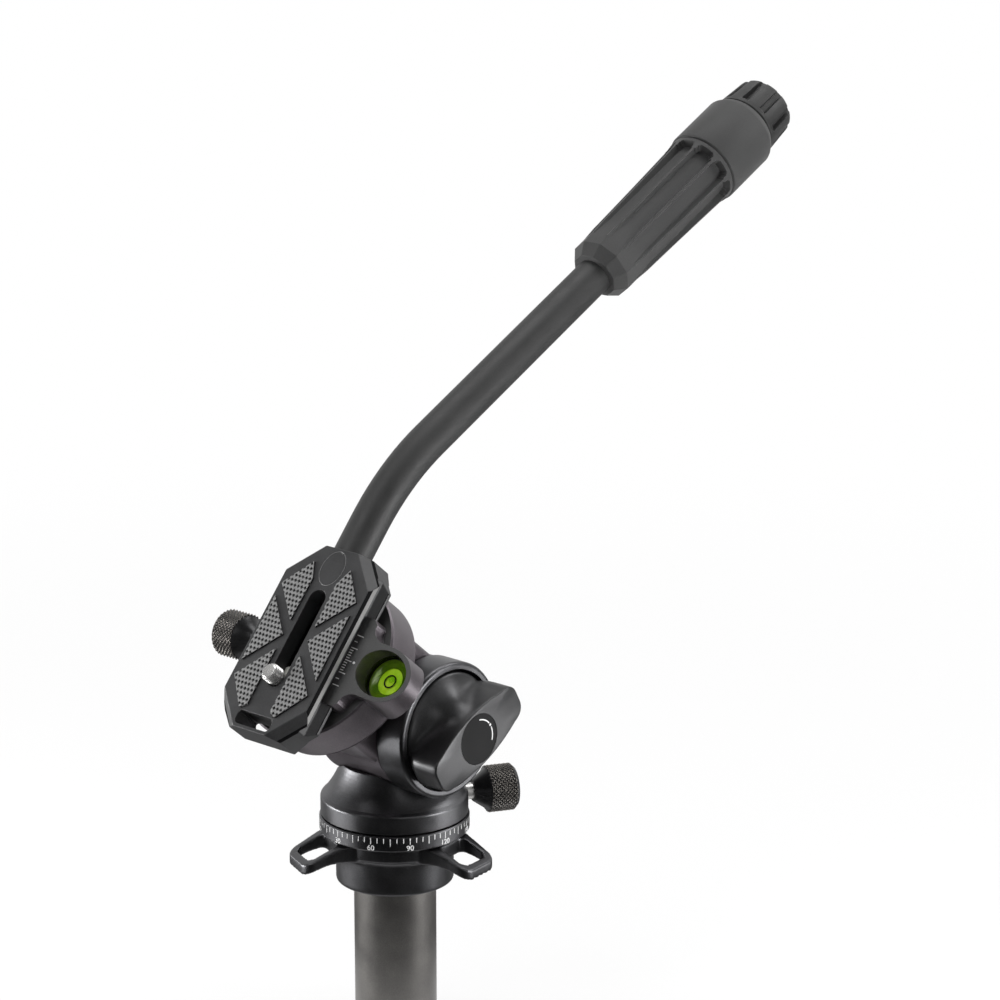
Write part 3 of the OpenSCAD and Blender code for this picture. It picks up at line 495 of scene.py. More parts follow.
print("packed nodes dressed:", len(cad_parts))

# camera plate, milled: a window near its front end, a bare strip along the flange, paler partly as a painted
# highlight, and a black line of painted shade round it; a test says how near the side a face lies and how
# squarely it looks sideways
windowSpec = {"halfWidth": 7.7, "ends": (-31.7, -27.2), "near": 0.1, "round": 1.5}
stripSpec = {"side": 19.0, "low": 53.4, "high": 55.2, "scoreTest": (0.1, 0.98), "faceTest": (0.12, 0.9),
             "slopeFrom": 18.3, "cornerLow": 53.1, "cornerHigh": 54.05}


def clampLean(direction):
    return (toClamp.to_3x3() @ direction).normalized()


def onSide(centre, lean, near, square):
    # the flange's two long sides
    return abs(abs((toClamp @ centre).x) - stripSpec["side"]) < near and abs(lean.x) > square


def onSlope(centre, lean):
    # the broken top edges of the long sides
    return abs(lean.x) > 0.8 and 0.25 < lean.z < 0.6 and abs((toClamp @ centre).x) > stripSpec["slopeFrom"]


def onCorner(lean):
    # the slanting faces across the plate's four corners
    return min(abs(lean.x), abs(lean.y)) > 0.3 and 0.15 < lean.z < 0.9


def score(height):
    # cuts the picked faces at a height over the clamp
    bpy.ops.mesh.bisect(plane_co=unit @ inClamp @ Vector((0, 0, height)), plane_no=clampUp)


def plateWork(piece):
    # rounds the window's four upright corners, and scores the faces where the milled strip and the line of
    # painted shade end
    def upright(centre, direction):
        spot = toClamp @ centre
        atSide = abs(abs(spot.x) - windowSpec["halfWidth"]) < windowSpec["near"]
        atEnd = min(abs(spot.y - end) for end in windowSpec["ends"]) < windowSpec["near"]
        return atSide and atEnd and abs(clampLean(direction).z) > 0.98
    pick(piece, "EDGE", upright)
    bpy.ops.mesh.bevel(offset=windowSpec["round"] * mm, segments=5)
    pick(piece, "FACE", lambda centre, normal: onSide(centre, clampLean(normal), *stripSpec["scoreTest"]))
    score(stripSpec["high"])
    pick(piece, "FACE", lambda centre, normal: onCorner(clampLean(normal)))
    score(stripSpec["cornerHigh"])
    objectMode()


# milled pieces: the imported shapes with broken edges
softPieces = [
    # node, name, edge in mm, body, work before the edges
    ("clamp_jaw", "clampJaw", 0.3, "jaw", None),
    ("camera_plate", "cameraPlate", 0.3, "plate", plateWork),
    ("end_cover", "barrelCover", 0.25, "tilt", None),
]
softened = {}
for node, name, edge, body, first in softPieces:
    softened[name] = softCopy(node, name, edge, "blackAnodisedAluminium", body, first)

# strap collar: a casting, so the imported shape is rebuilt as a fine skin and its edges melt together
collarSpec = {"skin": 0.33, "passes": 15}
collar = mergedCopy("strap_collar", "strapCollar")
modify(collar, "REMESH", mode="VOXEL", voxel_size=collarSpec["skin"] * mm)
modify(collar, "SMOOTH", factor=0.5, iterations=collarSpec["passes"])
dress(collar, "smoothBlackAluminium", "base", ["strap_collar"], 60)
print("edges softened:", len(softened) + 1, "collar faces:", len(collar.data.polygons))

# three socket-headed screws hold the end cover; heights count outwards from the cover's face
coverSpec = {"face": -15.6, "circle": 17.4, "count": 3, "head": 1.95, "top": -0.1, "under": -1.35,
             "shank": 1.0, "end": -4.4, "edge": 0.25, "inset": 0.8, "socket": 0.95, "socketDepth": 0.8}


def socketScrew(spec):
    head, top, under, shank, edge, socket = values(spec, "head top under shank edge socket")
    screw = turned([(shank, spec["end"]), (shank, under), (head, under), (head, top - edge),
                    (head - edge, top)], 48)
    face = top - 0.01
    pick(screw, "FACE", lambda centre, normal: normal.z > 0.9 and centre.z > face)
    bpy.ops.mesh.inset(thickness=spec["inset"])
    objectMode()

    def sixSided(co):
        radius, angle = polar(co)
        if co.z < face or radius > socket:
            return co
        return around(socket * cos(pi / 6) / cos(angle % (pi / 3) - pi / 6), angle, co.z)
    reshape(screw, sixSided)
    pick(screw, "FACE", lambda centre, normal: centre.z > face and polar(centre)[0] < 0.1)
    push(0, 0, -spec["socketDepth"])
    objectMode()
    return screw


firstScrew = socketScrew(coverSpec)
coverScrews = [firstScrew] + [copyOf(firstScrew) for extra in range(coverSpec["count"] - 1)]
for number, screw in enumerate(coverScrews):
    lay(screw, turn(90 + 360 / coverSpec["count"] * number, "X")
        @ shift(coverSpec["face"], 0, coverSpec["circle"]) @ alongMinusX)
settle(gather(coverScrews), "coverScrewHeads", inTilt, "blackOxideSteel", "tilt", ["cover_screws"], 35)
print("cover screws set")

# pan scale: white ticks every five degrees and numbers every thirty, printed on the base disc
scaleSpec = {"radius": 24.9, "top": 71.45, "zeroAt": -124.0, "short": 1.7, "middle": 2.65, "numbered": 2.2,
             "line": 0.3, "digitHeight": 1.75, "digitTop": 68.95, "bold": 0.04, "ink": 0.03}
perDegree = scaleSpec["radius"] * pi / 180


def uprightStrip(width, height, x, z):
    # a flat strip in the XZ plane, with edit mode left on
    clearSelection()
    bpy.ops.mesh.primitive_plane_add(size=1, location=(0, 0, 0), rotation=(radians(90), 0, 0))
    bakePlace()
    return stretch((width, 1, height), (x, 0, z))


def inkStroke(length, x, top):
    # one printed stroke, hanging down from its top end
    stroke = uprightStrip(scaleSpec["line"], length, x, top - length / 2)
    push(0, -scaleSpec["ink"], 0)
    outwards()
    return stroke


def inkTick(degree):
    size = "numbered" if degree % 30 == 0 else "middle" if degree % 15 == 0 else "short"
    return inkStroke(scaleSpec[size], degree * perDegree, scaleSpec["top"])


def inkNumber(degree):
    # a printed number, upright in the XZ plane
    clearSelection()
    bpy.ops.object.text_add(location=(0, 0, 0))
    digits = bpy.context.object.data
    height, ink = values(scaleSpec, "digitHeight ink")
    digits.body = str(degree)
    digits.align_x = "CENTER"
    digits.size = height / 0.7  # a capital is seven tenths of the type's size
    digits.extrude = ink / 2
    digits.offset = scaleSpec["bold"]
    bpy.ops.object.convert(target="MESH")
    number = bpy.context.object
    number.matrix_world = shift(degree * perDegree, -ink / 2, scaleSpec["digitTop"] - height) @ turn(90, "X")
    bakePlace()
    return number


def wrap(co):
    # lays a flat print (x along the edge, depth towards -y) round the pan axis, starting at the scale's zero
    return around(scaleSpec["radius"] - co.y, radians(scaleSpec["zeroAt"]) + co.x / scaleSpec["radius"], co.z)


for name, ink, step in (("panScaleTicks", inkTick, 5), ("panScaleNumbers", inkNumber, 30)):
    marks = gather([ink(degree) for degree in range(0, 360, step)])
    reshape(marks, wrap)
    settle(marks, name, Matrix(), "whiteInk", "base")
print("pan scale printed")

# the two knurled knobs: smooth cone behind, diamond knurl cut round the rim, recessed end
knurlSpec = {"sides": 64, "valley": 7.45, "crest": 8.0, "start": 5.0, "pitch": 0.7, "rows": 13, "neck": 3.6,
             "cone": 4.6, "coneEdge": (0.9, 0.4), "coneStep": 0.3, "rimEdge": (0.1, 0.5), "face": 14.6,
             "faceDrop": 0.7, "recess": 5.6, "recessDraft": 0.15, "recessDepth": 0.5}


def knurledKnob(name, hub, place, body, node):
    spec = knurlSpec
    valley, crest, face, cone, recess = values(spec, "valley crest face cone recess")
    rows = [(valley, spec["start"] + spec["pitch"] * row) for row in range(spec["rows"])]
    last = rows[-1][1]
    (coneIn, coneBack), (rimIn, rimOut) = values(spec, "coneEdge rimEdge")
    back = [(spec["neck"], 0), (valley - coneIn, cone - coneBack), (valley - spec["coneStep"], cone)]
    front = [(valley - rimIn, last + rimOut), (valley - spec["faceDrop"], face),
             (recess + spec["recessDraft"], face), (recess, face - spec["recessDepth"])]
    knob = turned(hub + back + rows + front, spec["sides"])

    def cut(co):
        row = (co.z - spec["start"]) / spec["pitch"]
        column = round(polar(co)[1] / (2 * pi) * spec["sides"])
        if -0.2 < row < spec["rows"] - 0.8 and (round(row) + column) % 2 == 0:
            return Vector((co.x * (crest / valley), co.y * (crest / valley), co.z))
        return co
    reshape(knob, cut)
    # the crest share paints the crests paler as a painted highlight, and the valleys stay dark
    markCrests(knob, lambda co: (polar(co)[0] - valley) / (crest - valley))
    pick(knob, "FACE", lambda centre, normal: cone < centre.z < last + 0.1)
    bpy.ops.mesh.quads_convert_to_tris(quad_method="SHORTEST_DIAGONAL", ngon_method="BEAUTY")
    objectMode()
    return settle(knob, name, place, "knurledBlackWearAndGlint", body, [node], 28)


knurledKnob("panLockKnob", [], inLock @ shift(27.1, 0, 0) @ alongX, "pan_lock", "pan_lock_knob")
knurledKnob("clampKnob", [(3.4, -0.55)], inClamp @ shift(-28.95, 0, 42.7) @ alongMinusX, "clamp_lock",
            "clamp_knob")
print("knobs knurled")

# wing knob of the tilt lock: a disc in the cup, hollowed on both flanks up to the wing's face
wingSpec = {"sides": 144, "disc": 19.3, "back": 19.0, "rim": 25.4, "rimStep": 0.4, "shoulder": 19.0,
            "face": 38.4, "halfLength": 21.3, "halfWidth": 9.2, "tipWidth": 6.5, "tipCorner": 4.4,
            "flankBow": 2.2, "tipBow": 9.0, "rows": 16, "rowGrowth": 1.4, "edge": 0.6, "dial": 8.45,
            "dialEdge": 0.1, "dialDepth": 0.8, "turn": 28.0}
facingX = onAxis @ turn(90, "Z") @ turn(90, "X")


def makeWing(spec):
    wide, back, rim, shoulder, face, edge = values(spec, "disc back rim shoulder face edge")
    halfLength, halfWidth, tipWidth, tipCorner = values(spec, "halfLength halfWidth tipWidth tipCorner")
    dial, dialEdge, rows, flankBow = values(spec, "dial dialEdge rows flankBow")
    far = halfLength - tipCorner

    def width(x):
        # half of the wing's width at a distance from its middle
        if x <= far:
            return halfWidth - (halfWidth - tipWidth) * (x / far) ** 2
        return tipWidth - tipCorner + sqrt(max(tipCorner ** 2 - (x - far) ** 2, 0))

    def outline(angle):
        # distance from the middle to the wing's outline, closed in on by halving
        low, high = 0.0, halfLength + 1
        for step in range(32):
            middle = (low + high) / 2
            x, y = abs(middle * cos(angle)), abs(middle * sin(angle))
            inside = x < halfLength and y < width(x)
            low, high = (middle, high) if inside else (low, middle)
        return low

    def rule(co):
        radius, angle = polar(co)
        if co.z < rim + 0.05 or radius < dial + 0.2:
            return co
        reach = outline(angle)
        climb = min((co.z - rim) / (face - rim), 1)
        along = abs(cos(angle)) ** 3  # 1 at the tips, 0 on the flanks
        bow = flankBow + (spec["tipBow"] - flankBow) * along
        out = reach + (shoulder - reach) * (1 - climb) ** bow
        drop = max(co.z - (face - edge), 0)
        out -= edge - sqrt(max(edge ** 2 - drop ** 2, 0))  # the face's rounded edge
        return around(out, angle, co.z)
    heights = [rim + (face - edge - rim) * (row / rows) ** spec["rowGrowth"] for row in range(1, rows + 1)]
    heights += [face - edge * (1 - part) for part in (0.4, 0.7, 0.9, 1.0)]
    knob = turned([(wide - edge, back), (wide, back + edge), (wide, rim - spec["rimStep"]), (shoulder, rim)]
                  + [(shoulder, height) for height in heights]
                  + [(dial + dialEdge, face), (dial, face - dialEdge), (dial, face - spec["dialDepth"])],
                  spec["sides"])
    reshape(knob, rule)
    return knob


settle(makeWing(wingSpec), "tiltLockWing", facingX @ turn(wingSpec["turn"], "Z"), "satinBlackCasting",
       "tilt_lock", ["tilt_lock_knob"], 40)

# two white arcs and a dot on the wing's dial
dialSpec = {"radius": 6.4, "line": 0.42, "height": 38.25, "ink": 0.04, "arcs": [(42, 88), (-16, 26)],
            "dotAt": 34, "dot": 0.45}


def inkArc(spec, start, end):
    # a strip spun round the dial, then turned so that it starts at its own degree
    arc = uprightStrip(spec["line"], spec["ink"], spec["radius"], spec["height"] + spec["ink"] / 2)
    bpy.ops.mesh.spin(steps=16, angle=radians(end - start), center=(0, 0, 0), axis=(0, 0, 1))
    selectAll()
    bpy.ops.mesh.remove_doubles(threshold=0.001)
    outwards()
    lay(arc, turn(start - min(degrees(polar(point.co)[1]) for point in arc.data.vertices), "Z"))
    return arc


def inkDot(radius, low, ink, place):
    dot = turned([(radius, low), (radius, low + ink)], 20)
    lay(dot, place)
    return dot


dialMarks = [inkArc(dialSpec, start, end) for start, end in dialSpec["arcs"]]
dotPlace = Matrix.Translation(around(dialSpec["radius"], radians(dialSpec["dotAt"]), 0))
dialMarks.append(inkDot(dialSpec["dot"], dialSpec["height"], dialSpec["ink"], dotPlace))
settle(gather(dialMarks), "tiltLockMarks", facingX, "whiteInk", "tilt_lock")
print("wing knob made")

# grip: a faceted collar in front, ten flutes between ribs that flare out, a ring, a groove and a plain band;
# ribHalf, ribFoot and fluteHalf are in degrees, bandEdge counts in from the band and on from the ring's end
gripSpec = {"sides": 200, "ribs": 10, "start": 116.0, "tube": 6.55, "nose": 8.3, "noseFrom": -3.4,
            "noseLength": 0.8, "facet": 11.2, "facetMiddle": 3.4, "facetEnd": 6.0, "floor": 10.6,
            "sinkLength": 9.0, "ribFrom": 12.05, "ribTo": 13.55, "ribSwell": 1.25, "ribHalf": 2.0,
            "ribFoot": 3.4, "fluteHalf": 14.6, "fluteCorner": 0.45, "fluteEnd": 60.0,
            "fluteRows": [12, 15, 18, 23, 28, 33, 38, 43, 48, 53], "arch": 3.4, "archFrom": 56.0,
            "archStep": 0.3, "archRows": 15, "ring": 13.6, "ringEnd": 61.6, "groove": (0.15, 0.6),
            "grooveDepth": 0.5, "band": 14.15, "bandEdge": [(0.45, 0.7), (0.12, 0.95), (0.0, 1.4)],
            "bandMiddle": 73, "bandEnd": 84.6, "endRadius": 12.6, "end": 87.5}


def makeGrip(spec):
    tube, nose, noseFrom, noseLength = values(spec, "tube nose noseFrom noseLength")
    facet, facetEnd, ribFrom, fluteEnd = values(spec, "facet facetEnd ribFrom fluteEnd")
    ring, ringEnd, band, bandEnd = values(spec, "ring ringEnd band bandEnd")
    endRadius, end = values(spec, "endRadius end")
    pitch = 2 * pi / spec["ribs"]

    def rule(co):
        radius, angle = polar(co)
        if radius < nose - 0.5 or co.z > fluteEnd + 0.4:
            return co
        off = abs((angle + pitch / 2) % pitch - pitch / 2)  # the angle from the nearest rib
        lean = cos(pitch / 2 - off)  # facets have their corners on the ribs
        if co.z <= noseLength:
            climb = (co.z - noseFrom) / (noseLength - noseFrom)
            out = (nose + (facet - nose) * climb) / lean
        elif co.z <= facetEnd:
            out = facet / lean
        else:
            along = (co.z - facetEnd) / (fluteEnd - facetEnd)
            sink = min((co.z - facetEnd) / spec["sinkLength"], 1)
            crest = ribFrom + (spec["ribTo"] - ribFrom) * along ** spec["ribSwell"]
            out = (facet - (facet - spec["floor"]) * sink) / lean
            across = (degrees(off) - spec["ribFoot"]) / spec["fluteHalf"]  # 0 at a rib's foot, 1 mid flute
            if across > 0:
                corner = max(1 - across / spec["fluteCorner"], 0)
                if co.z > fluteEnd - spec["arch"] * (1 - sqrt(1 - corner ** 2)):
                    out = crest
            elif degrees(off) < spec["ribHalf"]:
                out = crest
        return around(out, angle, co.z)
    rows = [noseLength, noseLength + 0.01, spec["facetMiddle"], facetEnd] + spec["fluteRows"]
    rows += [spec["archFrom"] + spec["archStep"] * step for step in range(spec["archRows"])]
    grip = turned([(tube, noseFrom), (nose, noseFrom)] + [(facet, height) for height in rows]
                  + [(ring, fluteEnd + 0.5), (ring, ringEnd)]
                  + [(ring - spec["grooveDepth"], ringEnd + past) for past in spec["groove"]]
                  + [(band - inset, ringEnd + past) for inset, past in spec["bandEdge"]]
                  + [(band, spec["bandMiddle"]), (band, bandEnd), (band - 0.15, bandEnd + 0.5),
                     (endRadius + 0.4, end - 0.5), (endRadius, end), (tube, end)], spec["sides"])
    reshape(grip, rule)
    return grip


settle(makeGrip(gripSpec), "gripSleeve", pastBend @ shift(0, gripSpec["start"], 0) @ alongY,
       "mouldedGripRubber", "handle", ["grip_sleeve"], 30)

# turning knob at the grip's end: ten narrow slots with flat floors between wide lands, rounded over
endSpec = {"sides": 200, "ribs": 10, "from": 87.98, "length": 14.9, "foot": (0.5, 0.02), "land": 12.35,
           "landEdge": 0.5, "landMiddle": 6, "landDrop": 0.3, "landEnd": 11.55, "landWidth": 11.6,
           "floor": 10.2, "floorDraft": 0.02, "fluteFrom": 2.0, "fluteStep": (0.05, 0.3), "dome": 2.4,
           "domeSteps": (0, 20, 40, 55, 70, 82, 90), "flat": 6}


def makeEndKnob(spec):
    land, landEnd, length, dome, fluteFrom = values(spec, "land landEnd length dome fluteFrom")
    (footIn, footAt), (before, after) = values(spec, "foot fluteStep")
    pitch = 2 * pi / spec["ribs"]

    def rule(co):
        radius, angle = polar(co)
        off = angle % pitch - pitch / 2  # lands stand between the sleeve's ribs
        if co.z < fluteFrom or radius < 3 or abs(degrees(off)) < spec["landWidth"]:
            return co
        floor = spec["floor"] / cos(pitch / 2 - abs(off))
        return around(min(radius, floor - spec["floorDraft"] * co.z), angle, co.z)
    domeRows = [(landEnd - dome * (1 - cos(radians(step))), length - dome * (1 - sin(radians(step))))
                for step in spec["domeSteps"]]
    knob = turned([(land - footIn, footAt), (land, spec["landEdge"]), (land, fluteFrom - before),
                   (land, fluteFrom + after), (land - spec["landDrop"], spec["landMiddle"])]
                  + domeRows + [(spec["flat"], length)], spec["sides"])
    reshape(knob, rule)
    return knob


settle(makeEndKnob(endSpec), "gripEndKnob",
       pastBend @ shift(0, gripSpec["start"] + endSpec["from"], 0) @ alongY,
       "mouldedKnobRubber", "handle", ["grip_end_knob"], 30)
print("grip made")

# handle tube: one bent tube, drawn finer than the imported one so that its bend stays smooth
tubeSpec = {"sides": 72, "radius": 6.5, "bore": 5.05, "from": 36.5, "bend": 95.0, "to": 198.8, "step": 4.0}


def makeTube(spec):
    bend, bore, start = values(spec, "bend bore from")
    bendTurn = radians(rest["bendDegrees"])
    bendStart = rest["bendAlong"] - bend * tan(bendTurn / 2)
    bendLength = bend * bendTurn

    def rule(co):
        # the tube is made straight along Z; the length past the bend's start swings down round its centre
        past = co.z - bendStart
        bent = min(max(past, 0.0), bendLength) / bend
        straight = past - bent * bend
        reach = bend - co.y  # a point's distance from the bend's centre
        lift = reach * cos(bent) - straight * sin(bent) - bend
        return Vector((co.x, -lift, bendStart + reach * sin(bent) + straight * cos(bent)))
    end = bendStart + bendLength + spec["to"] - bend * tan(bendTurn / 2)
    steps = round((end - start) / spec["step"])
    rows = [(spec["radius"], start + (end - start) * step / steps) for step in range(steps + 1)]
    tube = turned([(bore, start)] + rows + [(bore, end)], spec["sides"])
    reshape(tube, rule)
    return tube


settle(makeTube(tubeSpec), "handleTube", inHandle @ alongY, "blackPowderCoat", "handle", ["handle_tube"], 40)
print("handle tube bent")

# handle nut: a turned ring with small flutes to hold it by
nutSpec = {"sides": 144, "flutes": 24, "from": 30.15, "length": 6.0, "radius": 9.0, "bore": 5.08,
           "depth": 0.45, "edge": 0.6, "rows": [0.6, 0.95, 2.6, 4.3, 4.7], "nose": 7.8, "fluted": (0.9, 4.5)}


def makeNut(spec):
    wide, bore, length, (low, high) = values(spec, "radius bore length fluted")

    def rule(co):
        radius, angle = polar(co)
        if radius < wide - 0.3 or not low < co.z < high:
            return co
        wave = 0.5 - 0.5 * cos(angle * spec["flutes"])
        grow = 1 - spec["depth"] * wave / radius
        return Vector((co.x * grow, co.y * grow, co.z))
    nut = turned([(bore, 0), (wide - spec["edge"], 0)] + [(wide, height) for height in spec["rows"]]
                 + [(spec["nose"], length), (bore, length)], spec["sides"])
    reshape(nut, rule)
    return nut


settle(makeNut(nutSpec), "handleNut", inHandle @ shift(0, nutSpec["from"], 0) @ alongY,
       "knurledBlackWearAndGlint", "lock_nut", ["handle_nut"], 35)

# camera screw: a head with a key's socket, a core with a chamfered tip, and a ridge wound up round it
screwSpec = {"along": -13.625, "head": 6.15, "headEdge": 0.3, "headLow": 47.1, "headHigh": 50.3,
             "keyWall": 3.5, "keyDepth": 2.4, "shank": 2.68, "shankTo": 55.6, "core": 2.62, "to": 61.15,
             "tip": (0.45, 0.4), "crest": 3.15, "rootDepth": 0.1, "pitch": 1.27, "ridgeShare": 0.46,
             "from": 57.05, "turns": 3, "steps": 40}


def screwCore(spec):
    head, edge, low, high, core, to = values(spec, "head headEdge headLow headHigh core to")
    tipIn, tipBack = spec["tip"]
    piece = turned([(head - edge, low), (head, low + edge), (head, high - edge), (head - edge, high),
                    (spec["shank"], high), (core, spec["shankTo"]), (core, to - tipBack),
                    (core - tipIn, to)], 64)
    pick(piece, "FACE", lambda centre, normal: normal.z < -0.9 and centre.z < low + 0.1)
    bpy.ops.mesh.inset(thickness=spec["keyWall"])
    push(0, 0, spec["keyDepth"])
    objectMode()
    return piece


def screwRidge(spec):
    ridge = disc(3, 0.5, "NOTHING")
    half = spec["pitch"] * spec["ridgeShare"]
    root = spec["core"] - spec["rootDepth"]
    for point, (x, z) in zip(ridge.data.vertices, [(root, -half), (spec["crest"], 0), (root, half)]):
        point.co = (x, 0, spec["from"] + z)
    modify(ridge, "SCREW", axis="Z", angle=2 * pi, screw_offset=spec["pitch"], iterations=spec["turns"],
           steps=spec["steps"], render_steps=spec["steps"])
    pick(ridge, "EDGE", lambda centre, direction: True)
    bpy.ops.mesh.fill_holes(sides=3)
    outwards()
    return ridge


settle(gather([screwCore(screwSpec), screwRidge(screwSpec)]), "cameraScrewThread",
       inClamp @ shift(0, screwSpec["along"], 0), "turnedStainless", "mount_screw", ["camera_screw"], 40)
print("camera screw wound")

# grip pads: thin sheets with staggered rows of small pits, the same shapes on both sides of the slot
padSpec = {"top": 56.8, "slab": 0.08, "rise": 0.6, "under": 2, "cutHeight": 3, "acrossPitch": 1.55,
           "alongPitch": 1.7, "acrossCount": 48, "alongCount": 68}
padOutlines = [[(5.5, 5.4), (16.8, 16.8), (8.2, 26.6), (5.3, 21)], [(16.8, 12.2), (16.8, -11.4), (5.6, 0.3)],
               [(5.4, -4.8), (16.6, -16.8), (8, -26.6), (5.3, -25.4)]]


def prism(outline, low, height):
    # an upright block over an outline
    block = disc(len(outline), 1, "NGON")
    for point, (x, y) in zip(block.data.vertices, outline):
        point.co = (x, y, low)
    editMode()
    selectAll()
    push(0, 0, height)
    outwards()
    return block


def makePads(spec):
    across, along, acrossCount, alongCount = values(spec, "acrossPitch alongPitch acrossCount alongCount")
    top, slab, rise = values(spec, "top slab rise")

    def rule(co):
        # every other crossing of every other row is the bottom of a pit, each row shifted by half a pitch
        column, row = round(co.x / across * 2), round(co.y / along * 2)
        pit = row % 2 == 0 and (column + row // 2) % 2 == 0
        return Vector((co.x, co.y, top + slab + (0 if pit else rise)))
    clearSelection()
    bpy.ops.mesh.primitive_grid_add(x_subdivisions=acrossCount, y_subdivisions=alongCount, size=1,
                                    location=(0, 0, 0))
    sheet = stretch((acrossCount * across / 2, alongCount * along / 2, 1), (0, 0, 0))
    objectMode()
    reshape(sheet, rule)
    pick(sheet, "FACE", lambda centre, normal: True)
    bpy.ops.mesh.quads_convert_to_tris(quad_method="SHORTEST_DIAGONAL", ngon_method="BEAUTY")
    push(0, 0, -spec["under"])
    outwards()
    cutter = gather([prism([(side * x, y) for x, y in outline], top, spec["cutHeight"])
                     for outline in padOutlines for side in (-1, 1)])
    modify(sheet, "BOOLEAN", operation="INTERSECT", solver="EXACT", object=cutter)
    bpy.data.objects.remove(cutter)
    # how far each point stands up sets the painted shade in the pits and the painted highlight on the ridges
    markCrests(sheet, lambda co: (co.z - top - slab) / rise)
    return sheet


pads = settle(makePads(padSpec), "gripPads", inClamp, "padRubberPaintedLight", "plate", ["grip_pads"], 15)
print("pads textured:", len(pads.data.polygons))

# plate: the drop of each end lip fades out along the corner, the flange's long sides are milled bare, paler
# partly as a painted highlight, and a black line of painted shade runs round it
lipSpec = {"stepAt": 28.5, "bottom": 46.6, "near": 0.45, "left": 0.15}


def fadeOut(co):
    spot = toClamp @ co
    if abs(abs(spot.y) - lipSpec["stepAt"]) > lipSpec["near"] or spot.z > lipSpec["bottom"]:
        return co
    spot.z = lipSpec["bottom"] - (lipSpec["bottom"] - spot.z) * lipSpec["left"]
    return toClamp.inverted() @ spot


def plateSlot(face):
    # which of the plate's finishes a face has: dyed, milled bare (paler, partly as a painted highlight) or the
    # black line of painted shade
    height = (toClamp @ face.center).z
    lean = clampLean(face.normal)
    side = onSide(face.center, lean, *stripSpec["faceTest"])
    if side and stripSpec["low"] < height < stripSpec["high"]:
        return 1
    if side and height > stripSpec["high"] or onSlope(face.center, lean):
        return 2
    return 2 if onCorner(lean) and stripSpec["cornerLow"] < height < stripSpec["cornerHigh"] else 0


plate = softened["cameraPlate"]
# two more finishes for the plate: bare milled metal, paler partly as a painted highlight, and a black line of
# painted shade
plate.data.materials.append(finishes["milledAluminium"])
plate.data.materials.append(finishes["paintedShadowLine"])
reshape(plate, fadeOut)
for face in plate.data.polygons:
    face.material_index = plateSlot(face)

# a blank oval is scribed at the plate's rear; line and flat are shares, scaled up with the oval
ovalSpec = {"at": 25.9, "across": 4.7, "along": 6.1, "line": 0.028, "flat": 0.8, "top": 56.8, "sink": 0.08}
torus(1, ovalSpec["line"], 72, 8)
oval = stretch((ovalSpec["across"], ovalSpec["along"], ovalSpec["along"] * ovalSpec["flat"]),
               (0, ovalSpec["at"], ovalSpec["top"] - ovalSpec["sink"]))
settle(oval, "plateOval", inClamp, "rubbedBlackAluminium", "plate", smooth=60)

# position scale on the fixed jaw: strokes square to the plate, a dot beside the middle one
jawSpec = {"lip": 17.15, "top": 50.51, "slope": 0.37, "from": 17.25, "short": 1.2, "long": 2.3, "ink": 0.03,
           "dotAt": 20.3, "dot": 0.42, "pitch": 0.88, "longEvery": 5,
           "places": [-10, -7.5, -5, -4, -3, -2, -1, 0, 1, 2, 3, 4, 5, 7.5, 10]}


def onJaw(x, y):
    # a place on the jaw's sloping face, tipped with it
    height = jawSpec["top"] - jawSpec["slope"] * (x - jawSpec["lip"])
    return shift(x, y, height) @ Matrix.Rotation(atan(jawSpec["slope"]), 4, "Y")


jawMarks = []
for spot in jawSpec["places"]:
    mark = inkStroke(jawSpec["short"] if spot % jawSpec["longEvery"] else jawSpec["long"], 0, 0)
    lay(mark, onJaw(jawSpec["from"], spot * jawSpec["pitch"]) @ turn(90, "Z") @ turn(-90, "X"))
    jawMarks.append(mark)
jawMarks.append(inkDot(jawSpec["dot"], 0, jawSpec["ink"], onJaw(jawSpec["dotAt"], 0)))
settle(gather(jawMarks), "jawScale", inClamp, "whiteInk", "tilt")
print("jaw scale printed")

# bubble level: lime floor, sloping rim round it, a black ring and the bubble over it, a clear window on top
levelSpec = {"x": 29.5, "sides": 72, "window": 41.44, "bottom": 37.4, "radius": 7.2, "wall": 0.3,
             "floor": 4.7, "floorHeight": 40.1, "floorDrop": 0.6, "rimEdge": 0.5, "rimGap": 0.06,
             "rimFoot": (0.02, 0.1, 0.2), "lens": 6.65, "lensThick": 0.3, "lensEdge": 0.05, "lensFlat": 4.7,
             "ring": 2.1, "line": 0.24, "ringFlat": 0.35, "ringLift": 0.35, "bubble": 1.15, "bubbleFlat": 0.3,
             "bubbleAt": (0.45, 0.8), "bubbleLift": 0.5, "recess": 7.82, "recessWall": 0.06,
             "recessDrop": 0.6, "recessTop": 42.8}


def openEnds(piece):
    # takes the two discs off a turned ring, with edit mode left on
    pick(piece, "FACE", lambda centre, normal: abs(centre.x) + abs(centre.y) < 0.1)
    bpy.ops.mesh.delete(type="FACE")


